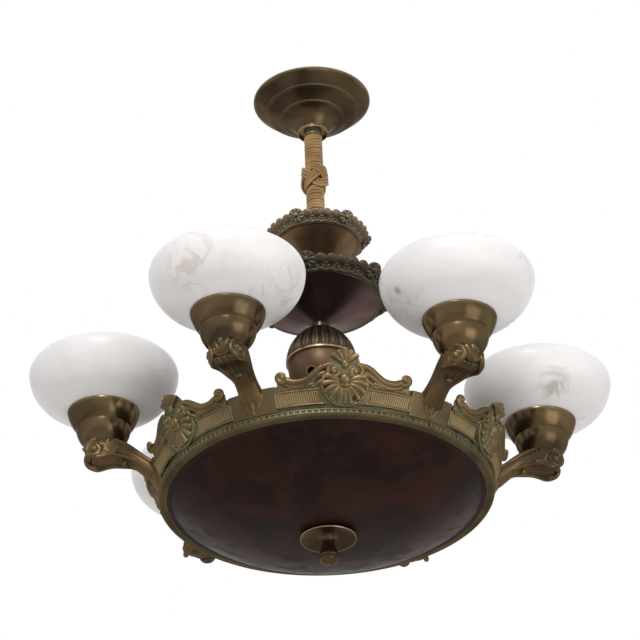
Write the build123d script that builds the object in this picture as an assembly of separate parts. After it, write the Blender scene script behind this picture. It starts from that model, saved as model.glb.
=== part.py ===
from build123d import *
import os
from math import asin, cos, hypot, radians, sin, sqrt

# Six-light bowl pendant: a bowl-shaped metal pan with a cast gallery ring round its rim, six cast arms with
# spun cups and alabaster shades, and a cord-wound stem with two crowned dishes that hangs from an eye.
# Heights are worked out upwards from the pan's rim and every piece is then lowered by the eye's height, so
# the origin is the centre of the hanging eye's bore. +Z is up. All sizes are in millimetres.

# Clearances
SEAT = 0.2               # between curved pieces that rest on each other
RUN_FIT = 0.06           # radial, between a thread or cap and the hole that it turns in
SLIDE_FIT = 0.3          # radial, between the canopy's collar and the stem it slides on
HOLE_FIT = 0.3           # radial, round the rod, nipples and screws that pass through a wall

# Pan
PAN_R = 204.0            # where the bowl meets its flange
PAN_DEPTH = 52.0         # outside, from the rim to the lowest point
PAN_WALL = 1.5
FLANGE_W = 5.2           # the flange that carries the gallery ring

# Gallery ring
HOOP_OUT = 14.0          # from the pan's mouth to the outside of the hoop, where the crests lie
HOOP_T = 4.5
HOOP_TOP = 50.0          # above the pan's rim
LEDGE_W = 3.6            # overlap of the ring's foot on the pan's flange
LEDGE_T = 5.0
LIP_OUT = 4.0            # rounded lip, outside the hoop
LIP_TOP = 3.2            # the lip's upper edge above the pan's rim
DENTIL_OUT = 3.2         # the band that carries the dentils, outside the hoop
DENTIL_TOP = 10.0
COVE_H = 2.8             # from the dentil band back to the hoop
PAD_HALF_W = 26.5        # plain pads that the arms are screwed to
PAD_T = 3.6

# Crests
CREST_T = 4.6            # plate, measured from the hoop outwards
CREST_FOOT = 17.0        # lower edge of the frieze plate above the pan's rim
PANEL_HALF_W = 84.0      # half width of the frieze plate, along the chord
WING_HALF_W = 76.0       # half width over the two scrolled wings
WING_DIP = 55.0          # low point of the wings' top edge
CURL_R = 7.5             # outer curl at each wing's end
SHELL_R = 30.7           # round frame of the scallop shell
SHELL_T = 3.6            # how far the shell's frame stands off the plate
SHELL_FRAME_W = 4.0
BOSS_R = 6.5             # boss that the shell's rays spring from
BOSS_LIFT = 9.0          # boss above the shell's centre
RAYS = 9
RAY_W = 3.6
RAY_T = 2.0
VOLUTE_R = 9.5           # the two volutes above the shell
VOLUTE_X = 15.0
VOLUTE_Z = 74.0
VOLUTE_T = 3.0
PALMETTE_Z = 78.0        # root of the palmette fan
PALMETTE_R = 17.0        # from its root to the middle of its lobes
PALMETTE_LOBES = 5
PALMETTE_LOBE_R = 5.6
PALMETTE_SPREAD = 62.0   # degrees from upright to the outermost lobe

# Arms, cups, lampholders, shades and bulbs
LAMPS = 6
ARM_REACH = 77.0         # from the hoop to the lamp axes
CUP_SEAT = 71.4          # underside of the cups above the pan's rim
CUP_DEPTH = 54.0
CUP_R = 48.0             # outside of the cup's rim
CUP_WAIST_R = 36.5       # at the step below the cup's bowl
CUP_STEP = 24.0          # from the rim down to the step
CUP_FOOT_R = 20.0
CUP_WALL = 1.4
ARM_W = 27.0             # width of the arm's stem
ARM_HEAD_W = 46.0        # width of the leaf that holds the cup
ARM_HEAD_L = 27.0        # how far the leaf reaches beyond the lamp axis
ARM_FLOOR = 20.0         # depth of the leaf below the cup's seat
ARM_RISE = 5.0           # how far the leaf rises round the cup
ROOT_LOW = 19.0          # lower end of the arm's root
ROOT_TOP = 49.0          # upper edge of the arm's root
SCREW_R = 2.5
SCREW_HEAD_R = 4.5
SCREW_HEAD_T = 2.6
SCREW_BITE = 7.0         # length of a screw inside the arm
SCREW_HEIGHTS = (29.0, 42.0)
HOLDER_R = 13.5
HOLDER_H = 62.0
HOLDER_FLANGE_R = 17.0
HOLDER_FLANGE_T = 3.0
NIPPLE_R = 5.0
NIPPLE_L = 13.0
BULB_CAP_R = 7.0
BULB_CAP_L = 22.0
BULB_R = 22.5
BULB_L = 50.0            # glass above the holder
SHADE_R = 100.0          # at the widest point
SHADE_DEPTH = 62.0       # from the widest point down to the bottom
SHADE_RISE = 19.0        # from the widest point up to the lip
SHADE_MOUTH_R = 82.0
SHADE_WALL = 9.0
SHADE_HOLE_R = 15.0
SHADE_NUT_R = 25.0
SHADE_NUT_T = 5.0

# Rod, washer and finial under the pan
ROD_R = 5.0
ROD_BORE_R = 3.2
WASHER_R = 37.6
WASHER_T = 1.6
WASHER_DEPTH = 4.6       # how far its rim hangs below its middle
FINIAL_L = 41.0
FINIAL_COLLAR_R = 9.5
FINIAL_NECK_R = 7.6
FINIAL_R = 12.6
THREAD_L = 20.0          # length of rod inside the finial

# Hub body and fluted bell
HUB_L = 300.5            # from the pan's floor to the bell's seat
HUB_TUBE_R = 9.0
HUB_FOOT_R = 20.0
HUB_FOOT_T = 5.0
HUB_CUP_H = 60.0
HUB_WALL = 3.0
WIRE_HOLE_R = 6.0
WIRE_HOLE_RISE = 27.0    # above the bottom of the rounded body
WIRE_HOLE_TURN = -118.0  # its direction in plan, in degrees
BELL_TOP_R = 14.0
BELL_R = 48.6
BELL_H = 54.0
BELL_CROWN = 15.5        # from the bell's seat to its top
BELL_SWELL = 50.0        # from the bell's chord to the centre of its arc
BELL_WALL = 3.4
FLUTES = 22
FLUTE_R = 4.6
FLUTE_DEPTH = 1.3
FLUTE_LAND_LOW = 3.0     # plain band below the flutes
FLUTE_LAND_HIGH = 8.0    # plain band above the flutes

# Crowned dishes
DISH_WALL = 1.5
LOWER_DISH_R = 84.0
LOWER_MOUTH_H = 34.3     # from the lower dish's neck up to its rim
LOWER_NECK_R = 12.0
LOWER_NECK_H = 8.0
LOWER_FLOOR = 26.0       # from the bell's top to the upper dish's foot
UPPER_DISH_R = 58.4
UPPER_MOUTH_H = 37.0
UPPER_NECK_R = 13.6
UPPER_NECK_L = 62.0      # from the upper dish's foot to the stem tube's seat
SOCKET_DEPTH = 14.0      # how deep the stem tube stands in the neck
CROWN_SEAT_W = 3.0       # ledge of the dish that the crown stands on
CROWN_BAND = 18.0        # slant length of the band up to the scallops' centres
CROWN_LEAN = 44.0        # degrees that the band leans out from upright
CROWN_WALL = 3.0
LOWER_LOBES = 5          # scallops between two rosettes
UPPER_LOBES = 4
LOWER_CROWN_TURN = 14.0  # degrees that the lower crown is turned against the arms
ROSETTES = 6
ROSETTE_R = 9.5
ROSETTE_T = 3.0
ROSETTE_RISE = 2.0       # above the scallops' centres
KNOB_R = 6.0
OVAL_RISE = 7.0          # height of the sunk ovals along the band
OVAL_HALF_W = 3.4
OVAL_HALF_H = 2.0
OVAL_DEPTH = 1.6

# Stem
TUBE_R = 10.4
TUBE_BORE_R = 8.4
TUBE_L = 251.5
CORD_R = 13.0            # outside of the cord winding
CORD_LIFT = 2.5          # from the dish's neck to the winding's lower end
FERRULE_L = 12.0
FERRULE_T = 3.0
KNOT_R = 21.0
KNOT_H = 42.0
KNOT_DROP = 65.0         # from the tube's upper end to the top of the knot

# Hanging eye and canopy
EYE_R = 16.0
EYE_BORE_R = 9.0
EYE_T = 7.0
EYE_RISE = 20.0          # bore's centre above its collar's foot
EYE_COLLAR_R = 9.0
EYE_COLLAR_H = 9.0
ROD_GRIP = 7.0           # length of rod inside the eye's collar
WIRE_EXIT_R = 2.0
CANOPY_R = 84.0
CANOPY_H = 58.7
CANOPY_WALL = 1.2
CEILING_RISE = 28.5      # ceiling above the eye's centre
STEP_ONE_R = 66.0
STEP_ONE_DROP = 18.5     # below the ceiling
STEP_TWO_R = 45.6
STEP_TWO_DROP = 31.5
MOUTH_R = 21.2
NECK_LOW_R = 22.6        # canopy's neck at the collar's lower edge
NECK_LOW_RISE = 5.0      # above the mouth
NECK_HIGH_R = 26.0       # canopy's neck at the collar's upper edge
NECK_HIGH_RISE = 10.5
COLLAR_SLIT = 3.0
RIM_BAND = 1.5           # short upright band at the rims of the cups and the canopy

# Radii and heights above the pan's rim, each worked out from the piece before
HOOP_R = PAN_R + HOOP_OUT
LAMP_CIRCLE_R = HOOP_R + ARM_REACH
PAN_FLOOR = PAN_WALL - PAN_DEPTH
BELL_SEAT = PAN_FLOOR + HUB_L
BELL_TOP = BELL_SEAT + BELL_CROWN
BELL_RIM = BELL_TOP - BELL_H
LOWER_NECK_TOP = BELL_TOP + LOWER_NECK_H
LOWER_RIM = LOWER_NECK_TOP + LOWER_MOUTH_H
UPPER_FOOT = BELL_TOP + LOWER_FLOOR
TUBE_FOOT = UPPER_FOOT + UPPER_NECK_L
UPPER_NECK_TOP = TUBE_FOOT + SOCKET_DEPTH
UPPER_RIM = UPPER_NECK_TOP + UPPER_MOUTH_H
TUBE_TOP = TUBE_FOOT + TUBE_L
FERRULE_TOP = TUBE_TOP + FERRULE_T
EYE_Z = FERRULE_TOP + EYE_RISE
CEILING = EYE_Z + CEILING_RISE
MOUTH = CEILING - CANOPY_H
CUP_RIM = CUP_SEAT + CUP_DEPTH
CUP_FLOOR = CUP_SEAT + CUP_WALL
HOLDER_TOP = CUP_FLOOR + HOLDER_H

# Directions in plan of the lamps and of the crests between them, in degrees
LAMP_ANGLES = [360 / LAMPS * i for i in range(LAMPS)]
CREST_ANGLES = [angle + 180 / LAMPS for angle in LAMP_ANGLES]
ROD_HOLE_R = ROD_R + HOLE_FIT
HUB_R = BELL_R - BELL_WALL - SEAT * 2
SHELL_Z = CREST_FOOT + SHELL_R


def save(name, shape):
    """Writes one sub-part, lowered so that the hanging eye's bore is at the origin."""
    export_step(Pos(0, 0, -EYE_Z) * shape, f"parts/{name}.step")


def at_height(points):
    """Points of (radius, height) in the XZ plane."""
    return [(r, 0, z) for r, z in points]


def edge_through(points):
    """A line through two points, a round arc through three, or a smooth curve through more."""
    if len(points) == 2:
        return Line(*at_height(points))
    if len(points) == 3:
        return ThreePointArc(*at_height(points))
    return Spline(*at_height(points))


def turned(*runs):
    """A solid turned about Z from a half section: runs of points, each starting where the last ends."""
    edges = [edge_through(run) for run in runs]
    first, last = runs[0][0], runs[-1][-1]
    if hypot(first[0] - last[0], first[1] - last[1]) > 1e-6:
        edges.append(Line(*at_height([last, first])))
    return revolve(make_face(edges), Axis.Z)


def corners(points):
    """The same open outline as runs of straight lines."""
    return [[points[i], points[i + 1]] for i in range(len(points) - 1)]


def shifted(outline, distance):
    """The open outline moved to its right by a distance, every corner along its bisector."""
    moved = []
    for i, (r, z) in enumerate(outline):
        before = outline[max(i - 1, 0)]
        after = outline[min(i + 1, len(outline) - 1)]
        first = Vector(r - before[0], z - before[1])
        second = Vector(after[0] - r, after[1] - z)
        first = first.normalized() if first.length > 0 else second.normalized()
        second = second.normalized() if second.length > 0 else first
        bisector = (first + second).normalized()
        reach = distance / bisector.dot(first)
        moved.append((r + bisector.Y * reach, z - bisector.X * reach))
    return moved


def chained(runs):
    """All points of the runs in one open outline."""
    outline = list(runs[0])
    for run in runs[1:]:
        outline += run[1:]
    return outline


def inner_runs(runs, wall):
    """The runs of a sheet's other side, a wall to the right of the given ones."""
    inner = shifted(chained(runs), wall)
    found = []
    start = 0
    for run in runs:
        end = start + len(run) - 1
        found.append(inner[start:end + 1])
        start = end
    return found


def spun(runs, wall):
    """Sheet of even wall turned about Z. The runs follow one side, with the wall to their right."""
    other = [run[::-1] for run in inner_runs(runs, wall)[::-1]]
    return turned(*runs, [runs[-1][-1], other[0][0]], *other)


def disc(radius, low, high, hole=0.0):
    """A round plate or tube standing on Z."""
    outline = Circle(radius)
    if hole > 0:
        outline -= Circle(hole)
    return Pos(0, 0, low) * extrude(outline, high - low)


def round_z(shape, angle):
    """The shape turned about the fixture's axis."""
    return Rot(0, 0, angle) * shape


def at_lamp(shape, angle):
    """A piece made on the Z axis, moved to one lamp's axis."""
    return round_z(Pos(LAMP_CIRCLE_R, 0, 0) * shape, angle)


# ---- pan, washer, finial and rod ----

def pan_height(radius):
    """Height of the pan's spherical outside at a radius, from the pan's rim."""
    sphere = (PAN_R * PAN_R + PAN_DEPTH * PAN_DEPTH) / (2 * PAN_DEPTH)
    return sphere - PAN_DEPTH - sqrt(sphere * sphere - radius * radius)


def pan():
    """Spun bowl with an out-turned flange that the ring rests on, and a hole for the rod."""
    bowl = [(r, pan_height(r)) for r in (ROD_HOLE_R, (PAN_R + ROD_HOLE_R) / 2, PAN_R)]
    inside = [(r, z + PAN_WALL) for r, z in bowl]
    flange = [bowl[-1], (PAN_R + FLANGE_W, 0), (PAN_R + FLANGE_W, PAN_WALL), inside[-1]]
    return turned(bowl, *corners(flange), inside[::-1])


WASHER_TOP = pan_height(ROD_HOLE_R) - SEAT
FINIAL_TOP = WASHER_TOP - WASHER_T


def rosette_washer():
    """Spun saucer between the pan and the finial, with its rim turned down."""
    upper = [(ROD_HOLE_R, WASHER_TOP), (WASHER_R * 0.3, WASHER_TOP)]
    rim = (WASHER_R, WASHER_TOP - WASHER_DEPTH)
    side = [upper[-1], (WASHER_R * 0.78, WASHER_TOP - WASHER_DEPTH * 0.3), rim]
    return spun([upper, side], WASHER_T)


def finial():
    """Turned nut under the washer: a collar, a thin neck and a flared knob with a blunt cone."""
    foot = FINIAL_TOP - FINIAL_L
    bore = ROD_R + RUN_FIT
    depth = FINIAL_TOP - THREAD_L - 1
    neck = [(FINIAL_COLLAR_R, FINIAL_TOP - 3), (FINIAL_NECK_R, FINIAL_TOP - 6),
            (FINIAL_NECK_R, FINIAL_TOP - 12), (FINIAL_R, foot + 11)]
    cone = [(FINIAL_R, foot + 7), (FINIAL_R * 0.6, foot + 2), (FINIAL_R * 0.2, foot)]
    return turned([(bore, FINIAL_TOP), (FINIAL_COLLAR_R, FINIAL_TOP)],
                  [(FINIAL_COLLAR_R, FINIAL_TOP), neck[0]], neck, [neck[-1], cone[0]], cone,
                  [cone[-1], (0, foot)], [(0, foot), (0, depth)], [(0, depth), (bore, depth)])


def centre_rod():
    """Threaded pipe from the finial to the hanging eye, which clamps the stack and leads the wires."""
    return disc(ROD_R, FINIAL_TOP - THREAD_L, FERRULE_TOP + ROD_GRIP, ROD_BORE_R) - wire_exit()


# ---- hub body and bell ----

def hub_body():
    """Tube on a foot in the pan, carrying the rounded body that closes the bell from below."""
    low = BELL_RIM - HUB_CUP_H
    tube = disc(HUB_TUBE_R, PAN_FLOOR + HUB_FOOT_T, BELL_SEAT, ROD_HOLE_R)
    foot_low = pan_height(HUB_FOOT_R) + PAN_WALL + SEAT
    foot = disc(HUB_FOOT_R, foot_low, PAN_FLOOR + HUB_FOOT_T, ROD_HOLE_R)
    side = [(HUB_TUBE_R - 1, low), (HUB_TUBE_R + 7, low + 2), (HUB_R * 0.72, low + HUB_CUP_H * 0.27),
            (HUB_R * 0.97, low + HUB_CUP_H * 0.63), (HUB_R, BELL_RIM)]
    cup = spun([side], -HUB_WALL)
    hole = Pos(HUB_R * 0.85, 0, low + WIRE_HOLE_RISE) * Rot(0, 90, 0) * Cylinder(WIRE_HOLE_R, HUB_R * 0.6)
    return tube + foot + (cup - round_z(hole, WIRE_HOLE_TURN))


def fluted_bell():
    """Cast bell, turned from one arc, with hollow flutes down its outside."""
    chord = Vector(BELL_R - BELL_TOP_R, BELL_RIM - BELL_TOP)
    middle = Vector(BELL_R + BELL_TOP_R, BELL_RIM + BELL_TOP) * 0.5
    centre = middle + Vector(chord.Y, -chord.X).normalized() * BELL_SWELL
    radius = (Vector(BELL_R, BELL_RIM) - centre).length
    start = asin((BELL_TOP - centre.Y) / radius)
    end = asin((BELL_RIM - centre.Y) / radius)
    angles = [start, (start + end) / 2, end]
    outside = [(centre.X + radius * cos(a), centre.Y + radius * sin(a)) for a in angles]
    bell = spun([outside], BELL_WALL)
    flute = Pos(centre.X, 0, centre.Y) * Rot(90, 0, 0) * Torus(radius + FLUTE_R - FLUTE_DEPTH, FLUTE_R)
    low = BELL_RIM + FLUTE_LAND_LOW
    high = BELL_TOP - FLUTE_LAND_HIGH
    flute = flute & (Pos(BELL_R, 0, (low + high) / 2) * Box(BELL_R * 1.6, BELL_R, high - low))
    bell -= [round_z(flute, 360 / FLUTES * i) for i in range(FLUTES)]
    boss = disc(BELL_TOP_R, BELL_SEAT, BELL_TOP, ROD_HOLE_R)
    return bell + boss


# ---- crowned dishes ----

def dish_side(rim_r, rim, neck_r, neck_top):
    """Outside of a dish: a wide shallow mouth that sweeps into an upright neck."""
    width = rim_r - neck_r
    fall = rim - neck_top
    sweep = [(rim_r - CROWN_SEAT_W, rim), (neck_r + width * 0.68, rim - fall * 0.24),
             (neck_r + width * 0.38, rim - fall * 0.52), (neck_r + width * 0.12, rim - fall * 0.8),
             (neck_r, neck_top)]
    return [[(rim_r, rim), sweep[0]], sweep, [sweep[-1], (neck_r, neck_top - SOCKET_DEPTH * 0.4)]]


def lower_dish():
    """Spun dish whose neck stands on the bell, with a boss for the upper dish's foot."""
    shell = spun(dish_side(LOWER_DISH_R, LOWER_RIM, LOWER_NECK_R, LOWER_NECK_TOP), DISH_WALL)
    return shell + disc(LOWER_NECK_R, BELL_TOP, UPPER_FOOT, ROD_HOLE_R)


def upper_dish():
    """Spun dish on a long neck, with the socket that the stem tube stands in."""
    shell = spun(dish_side(UPPER_DISH_R, UPPER_RIM, UPPER_NECK_R, UPPER_NECK_TOP), DISH_WALL)
    neck = disc(UPPER_NECK_R, UPPER_FOOT, TUBE_FOOT, ROD_HOLE_R)
    socket = disc(UPPER_NECK_R, TUBE_FOOT, UPPER_NECK_TOP, TUBE_R + SEAT)
    return shell + neck + socket


def crown(dish_r, rim, lobes, turn):
    """Cast band that leans out from a dish's rim: scallops between rosettes, over a row of sunk ovals."""
    lean = radians(CROWN_LEAN)
    up = Vector(sin(lean), cos(lean))
    out = Vector(cos(lean), -sin(lean))
    foot = Vector(dish_r + 1, rim + DISH_WALL)
    top = foot + up * CROWN_BAND
    back = top - out * CROWN_WALL
    heel = (dish_r - CROWN_SEAT_W + 0.5, foot.Y)
    section = [heel, (foot.X, foot.Y), (top.X, top.Y), (back.X, back.Y), (heel[0], heel[1] + CROWN_WALL)]
    band = turned(*corners(section))

    def on_band(shape, rise, angle):
        place = foot + up * rise
        return round_z(Pos(place.X, 0, place.Y) * Rot(0, 90 + CROWN_LEAN, 0) * shape, angle)

    bay = 360 / ROSETTES
    rosette_half = degrees_of(ROSETTE_R, top.X)
    pitch = (bay - 2 * rosette_half) / lobes
    lobe_r = radians(pitch) * top.X / 2 + SEAT
    lobe = Pos(0, 0, -CROWN_WALL / 2) * Cylinder(lobe_r, CROWN_WALL)
    oval = Pos(0, 0, -OVAL_DEPTH) * extrude(Ellipse(OVAL_HALF_H, OVAL_HALF_W), CROWN_WALL)
    plate_t = CROWN_WALL + ROSETTE_T
    rosette = Pos(0, 0, ROSETTE_T - plate_t / 2) * Cylinder(ROSETTE_R, plate_t)
    knob = Pos(0, 0, ROSETTE_T - KNOB_R * 0.3) * Sphere(KNOB_R)
    added = []
    cut = []
    for i in range(ROSETTES):
        angle = turn + bay * i
        added.append(on_band(rosette + knob, CROWN_BAND + ROSETTE_RISE, angle))
        for j in range(lobes):
            lobe_angle = angle + rosette_half + pitch * (j + 0.5)
            added.append(on_band(lobe, CROWN_BAND, lobe_angle))
            cut.append(on_band(oval, OVAL_RISE, lobe_angle))
    return band + added - cut


def degrees_of(length, radius):
    """Angle, in degrees, that a length takes up on a circle."""
    return length / radius * 180 / radians(180)


# ---- gallery ring and crests ----

def gallery_ring():
    """Cast hoop on the pan's flange, with a rounded lip, a dentil band and plain pads for the arms."""
    seat_r = PAN_R + FLANGE_W + SEAT
    ledge_r = seat_r - LEDGE_W
    ledge_top = PAN_WALL + LEDGE_T
    inner_r = HOOP_R - HOOP_T
    lip_r = HOOP_R + LIP_OUT
    dentil_r = HOOP_R + DENTIL_OUT
    lip = [(seat_r, 0.4), ((seat_r + lip_r) / 2 + 2, 0), (lip_r, LIP_TOP)]
    cove = [(dentil_r, DENTIL_TOP), (HOOP_R + 1, DENTIL_TOP + COVE_H * 0.2), (HOOP_R, DENTIL_TOP + COVE_H)]
    hoop = [cove[-1], (HOOP_R, HOOP_TOP), (inner_r, HOOP_TOP), (inner_r, ledge_top)]
    foot = [hoop[-1], (ledge_r, ledge_top), (ledge_r, PAN_WALL), (seat_r, PAN_WALL), lip[0]]
    band = [lip[-1], (dentil_r, LIP_TOP), cove[0]]
    ring = turned(lip, *corners(band), cove, *corners(hoop), *corners(foot))
    for angle in LAMP_ANGLES:
        ring += round_z(arm_pad(), angle)
        ring -= round_z(screw_holes(), angle)
    return ring


def arm_pad():
    """Plain plate on the hoop's outside that an arm is screwed to, along +X."""
    half = degrees_of(PAD_HALF_W, HOOP_R)
    section = [(HOOP_R - 1, DENTIL_TOP - 1), (HOOP_R + PAD_T, DENTIL_TOP - 1), (HOOP_R + PAD_T, HOOP_TOP),
               (HOOP_R - 1, HOOP_TOP), (HOOP_R - 1, DENTIL_TOP - 1)]
    face = make_face([edge_through(run) for run in corners(section)])
    return round_z(revolve(face, Axis.Z, 2 * half), -half)


def facing(sketch):
    """A front view, drawn as X across and Y up, as a long prism that points along -Y."""
    return Rot(90, 0, 0) * extrude(sketch, HOOP_R * 2)


def layer(sketch, start, end):
    """The part of a front view that lies between two distances from the hoop's outside."""
    return facing(sketch) & disc(HOOP_R + end, 0, EYE_Z, HOOP_R + start)


def mirrored(sketch):
    """The sketch and its mirror image."""
    return sketch + mirror(sketch, Plane.YZ)


def crest_wing():
    """One scrolled wing beside the shell, from its end curl up to the volute."""
    curl_x = WING_HALF_W - CURL_R
    top = Spline((curl_x, WING_DIP + 2), (curl_x * 0.78, WING_DIP), (curl_x * 0.56, WING_DIP + 5),
                 (curl_x * 0.4, VOLUTE_Z), (VOLUTE_X, VOLUTE_Z + VOLUTE_R - 0.5))
    low = CREST_FOOT + 3
    high = VOLUTE_Z + VOLUTE_R - 0.5
    rest = Polyline((VOLUTE_X, high), (VOLUTE_X, low), (curl_x, low), (curl_x, WING_DIP + 2))
    curl = Pos(curl_x, WING_DIP + CURL_R - 2) * Circle(CURL_R)
    return make_face([top, *rest.edges()]) + curl


def palmette():
    """The leaf fan behind the volutes."""
    fan = Pos(0, PALMETTE_Z) * Circle(PALMETTE_R)
    for i in range(PALMETTE_LOBES):
        angle = PALMETTE_SPREAD * (2 * i / (PALMETTE_LOBES - 1) - 1)
        fan += Pos(0, PALMETTE_Z) * Rot(0, 0, angle) * Pos(0, PALMETTE_R) * Circle(PALMETTE_LOBE_R)
    return fan


def shell_rays():
    """The scallop's rays, which spread downwards from its boss inside the round frame."""
    root = SHELL_Z + BOSS_LIFT
    rays = Sketch()
    for i in range(RAYS):
        angle = 180 + 110 * (2 * i / (RAYS - 1) - 1)
        rays += Pos(0, root) * Rot(0, 0, angle) * Pos(0, SHELL_R) * Rectangle(RAY_W, SHELL_R * 2)
    return rays & (Pos(0, SHELL_Z) * Circle(SHELL_R - SHELL_FRAME_W / 2))


def crest():
    """Cast plate with frieze, scrolled wings, scallop shell, volutes and palmette, facing -Y."""
    panel = Pos(0, (CREST_FOOT + HOOP_TOP) / 2) * Rectangle(PANEL_HALF_W * 2, HOOP_TOP - CREST_FOOT)
    disc_face = Pos(0, SHELL_Z) * Circle(SHELL_R)
    volute = Pos(VOLUTE_X, VOLUTE_Z) * Circle(VOLUTE_R)
    plate = panel + mirrored(crest_wing()) + disc_face + mirrored(volute) + palmette()
    frame = disc_face - Pos(0, SHELL_Z) * Circle(SHELL_R - SHELL_FRAME_W)
    boss = Pos(0, -(HOOP_R + CREST_T), SHELL_Z + BOSS_LIFT) * Sphere(BOSS_R)
    return (layer(plate, SEAT, CREST_T) + layer(frame, CREST_T - 1, CREST_T + SHELL_T)
            + layer(shell_rays(), CREST_T - 1, CREST_T + RAY_T)
            + layer(mirrored(volute), CREST_T - 1, CREST_T + VOLUTE_T) + boss)


# ---- arms and their screws ----

ARM_ROOT_R = HOOP_R + PAD_T + SEAT


def along_arm(share):
    """A radius between the arm's root, at 0, and the lamp's axis, at 1."""
    return ARM_ROOT_R + (LAMP_CIRCLE_R - ARM_ROOT_R) * share


def arm_side():
    """The arm seen from its side, from the ring's pad up to the leaf round the cup."""
    head = LAMP_CIRCLE_R + ARM_HEAD_L
    leaf_top = CUP_SEAT + ARM_RISE
    leaf_low = CUP_SEAT - ARM_FLOOR
    top = [(HOOP_R, ROOT_TOP), (along_arm(0.28), ROOT_TOP + 4), (along_arm(0.5), leaf_top - 13),
           (along_arm(0.72), leaf_top - 4), (LAMP_CIRCLE_R, leaf_top + 1), (head - 6, leaf_top - 1)]
    tip = [top[-1], (head, leaf_top - 12)]
    under = [tip[-1], (head - 9, leaf_low + 6), (LAMP_CIRCLE_R + 2, leaf_low),
             (LAMP_CIRCLE_R - 10, leaf_low + 2), (along_arm(0.58), leaf_low - 2),
             (along_arm(0.28), ROOT_LOW + 12), (ARM_ROOT_R + 6, ROOT_LOW)]
    foot = [under[-1], (HOOP_R, ROOT_LOW - 2)]
    return make_face([edge_through(run) for run in (top, tip, under, foot, [foot[-1], top[0]])])


def arm_plan():
    """The arm seen from above: a slim stem that widens into the leaf."""
    half = ARM_W / 2
    head = ARM_HEAD_W / 2
    end = LAMP_CIRCLE_R + ARM_HEAD_L
    side = [(HOOP_R, half), (along_arm(0.45), half - 1), (along_arm(0.75), head * 0.82),
            (LAMP_CIRCLE_R, head), (end - 8, head * 0.72), (end, head * 0.25)]
    other = [(x, -y) for x, y in side]
    outline = [Spline(*side), Line(side[-1], other[-1]), Spline(*other[::-1]), Line(other[0], side[0])]
    return make_face(outline)


def arm():
    """Cast arm that reaches along +X, with the pocket for its cup, the nipple's hole and two screw holes."""
    body = extrude(arm_side(), ARM_HEAD_W, both=True) & extrude(arm_plan(), CUP_RIM)
    body -= disc(ARM_ROOT_R, 0, CUP_RIM)
    nipple_hole = disc(NIPPLE_R + HOLE_FIT, CUP_SEAT - NIPPLE_L - 1, CUP_RIM)
    body -= Pos(LAMP_CIRCLE_R, 0, 0) * (cup_envelope() + nipple_hole)
    return body - screw_holes()


def along_x(radius, start, end, height):
    """A round bar along +X between two radii, at a height."""
    return Pos((start + end) / 2, 0, height) * Rot(0, 90, 0) * Cylinder(radius, end - start)


def screw_holes():
    """The two holes, one above the other, for the screws that hold one arm. They end inside the arm."""
    start = HOOP_R - HOOP_T - 1
    low, high = [along_x(SCREW_R + SEAT, start, ARM_ROOT_R + SCREW_BITE + 1, z) for z in SCREW_HEIGHTS]
    return low + high


def arm_screws():
    """Two round-headed screws for each arm, driven outwards from inside the hoop."""
    face = HOOP_R - HOOP_T - SEAT
    screws = []
    for z in SCREW_HEIGHTS:
        shank = along_x(SCREW_R, face - SEAT, ARM_ROOT_R + SCREW_BITE, z)
        screws.append(shank + along_x(SCREW_HEAD_R, face - SCREW_HEAD_T, face, z))
    return Compound([round_z(screw, angle) for angle in LAMP_ANGLES for screw in screws])


# ---- cups, lampholders, shades and bulbs ----

def cup_side():
    """Outside of the cup, from its rim down over the step to its foot."""
    step = CUP_RIM - CUP_STEP
    middle = (CUP_R - 3.4, CUP_RIM - CUP_STEP * 0.5)
    bowl = [(CUP_R, CUP_RIM - RIM_BAND), middle, (CUP_WAIST_R + 2.2, step + 1.5)]
    ledge = [bowl[-1], (CUP_WAIST_R, step - 1)]
    lower = [ledge[-1], (CUP_FOOT_R + 12.5, CUP_SEAT + 14.5), (CUP_FOOT_R, CUP_SEAT)]
    return [[(CUP_R, CUP_RIM), bowl[0]], bowl, ledge, lower]


def cup():
    """Spun cup with a flat floor round the lampholder's nipple."""
    hole = NIPPLE_R + HOLE_FIT
    return spun([*cup_side(), [(CUP_FOOT_R, CUP_SEAT), (hole, CUP_SEAT)]], CUP_WALL)


def cup_envelope():
    """Room for the cup in the arm's leaf."""
    side = inner_runs([*cup_side(), [(CUP_FOOT_R, CUP_SEAT), (0, CUP_SEAT)]], -SEAT)
    flat = [(side[3][-1][0], CUP_SEAT), (0, CUP_SEAT)]
    lower = side[3][:-1] + [flat[0]]
    return turned(*side[:3], lower, flat, [flat[-1], (0, side[0][0][1])])


def lampholder():
    """Porcelain holder on a brass nipple, with a bore for the bulb's cap and a thread for the ring nut."""
    bore = BULB_CAP_R + RUN_FIT
    depth = HOLDER_TOP - BULB_CAP_L - 1
    outline = [(0, CUP_SEAT - NIPPLE_L), (NIPPLE_R, CUP_SEAT - NIPPLE_L), (NIPPLE_R, CUP_FLOOR),
               (HOLDER_FLANGE_R, CUP_FLOOR), (HOLDER_FLANGE_R, CUP_FLOOR + HOLDER_FLANGE_T),
               (HOLDER_R, CUP_FLOOR + HOLDER_FLANGE_T), (HOLDER_R, HOLDER_TOP), (bore, HOLDER_TOP),
               (bore, depth), (0, depth)]
    return turned(*corners(outline))


def ellipse_fall(radius, width, depth):
    """How far an elliptical bowl lies below its widest point at a radius."""
    return depth * sqrt(1 - (radius / width) ** 2)


def elliptical(width, depth):
    """Two arcs, as runs of (radius, height), from the shade's hole up to its widest point."""
    shares = (0, 0.36, 0.68, 0.9, 1)
    radii = [SHADE_HOLE_R + (width - SHADE_HOLE_R) * share for share in shares]
    points = [(r, SHADE_Z - ellipse_fall(r, width, depth)) for r in radii]
    return [points[:3], points[2:]]


SHADE_Z = CUP_RIM + SEAT + ellipse_fall(CUP_R - CUP_WALL, SHADE_R, SHADE_DEPTH)


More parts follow.
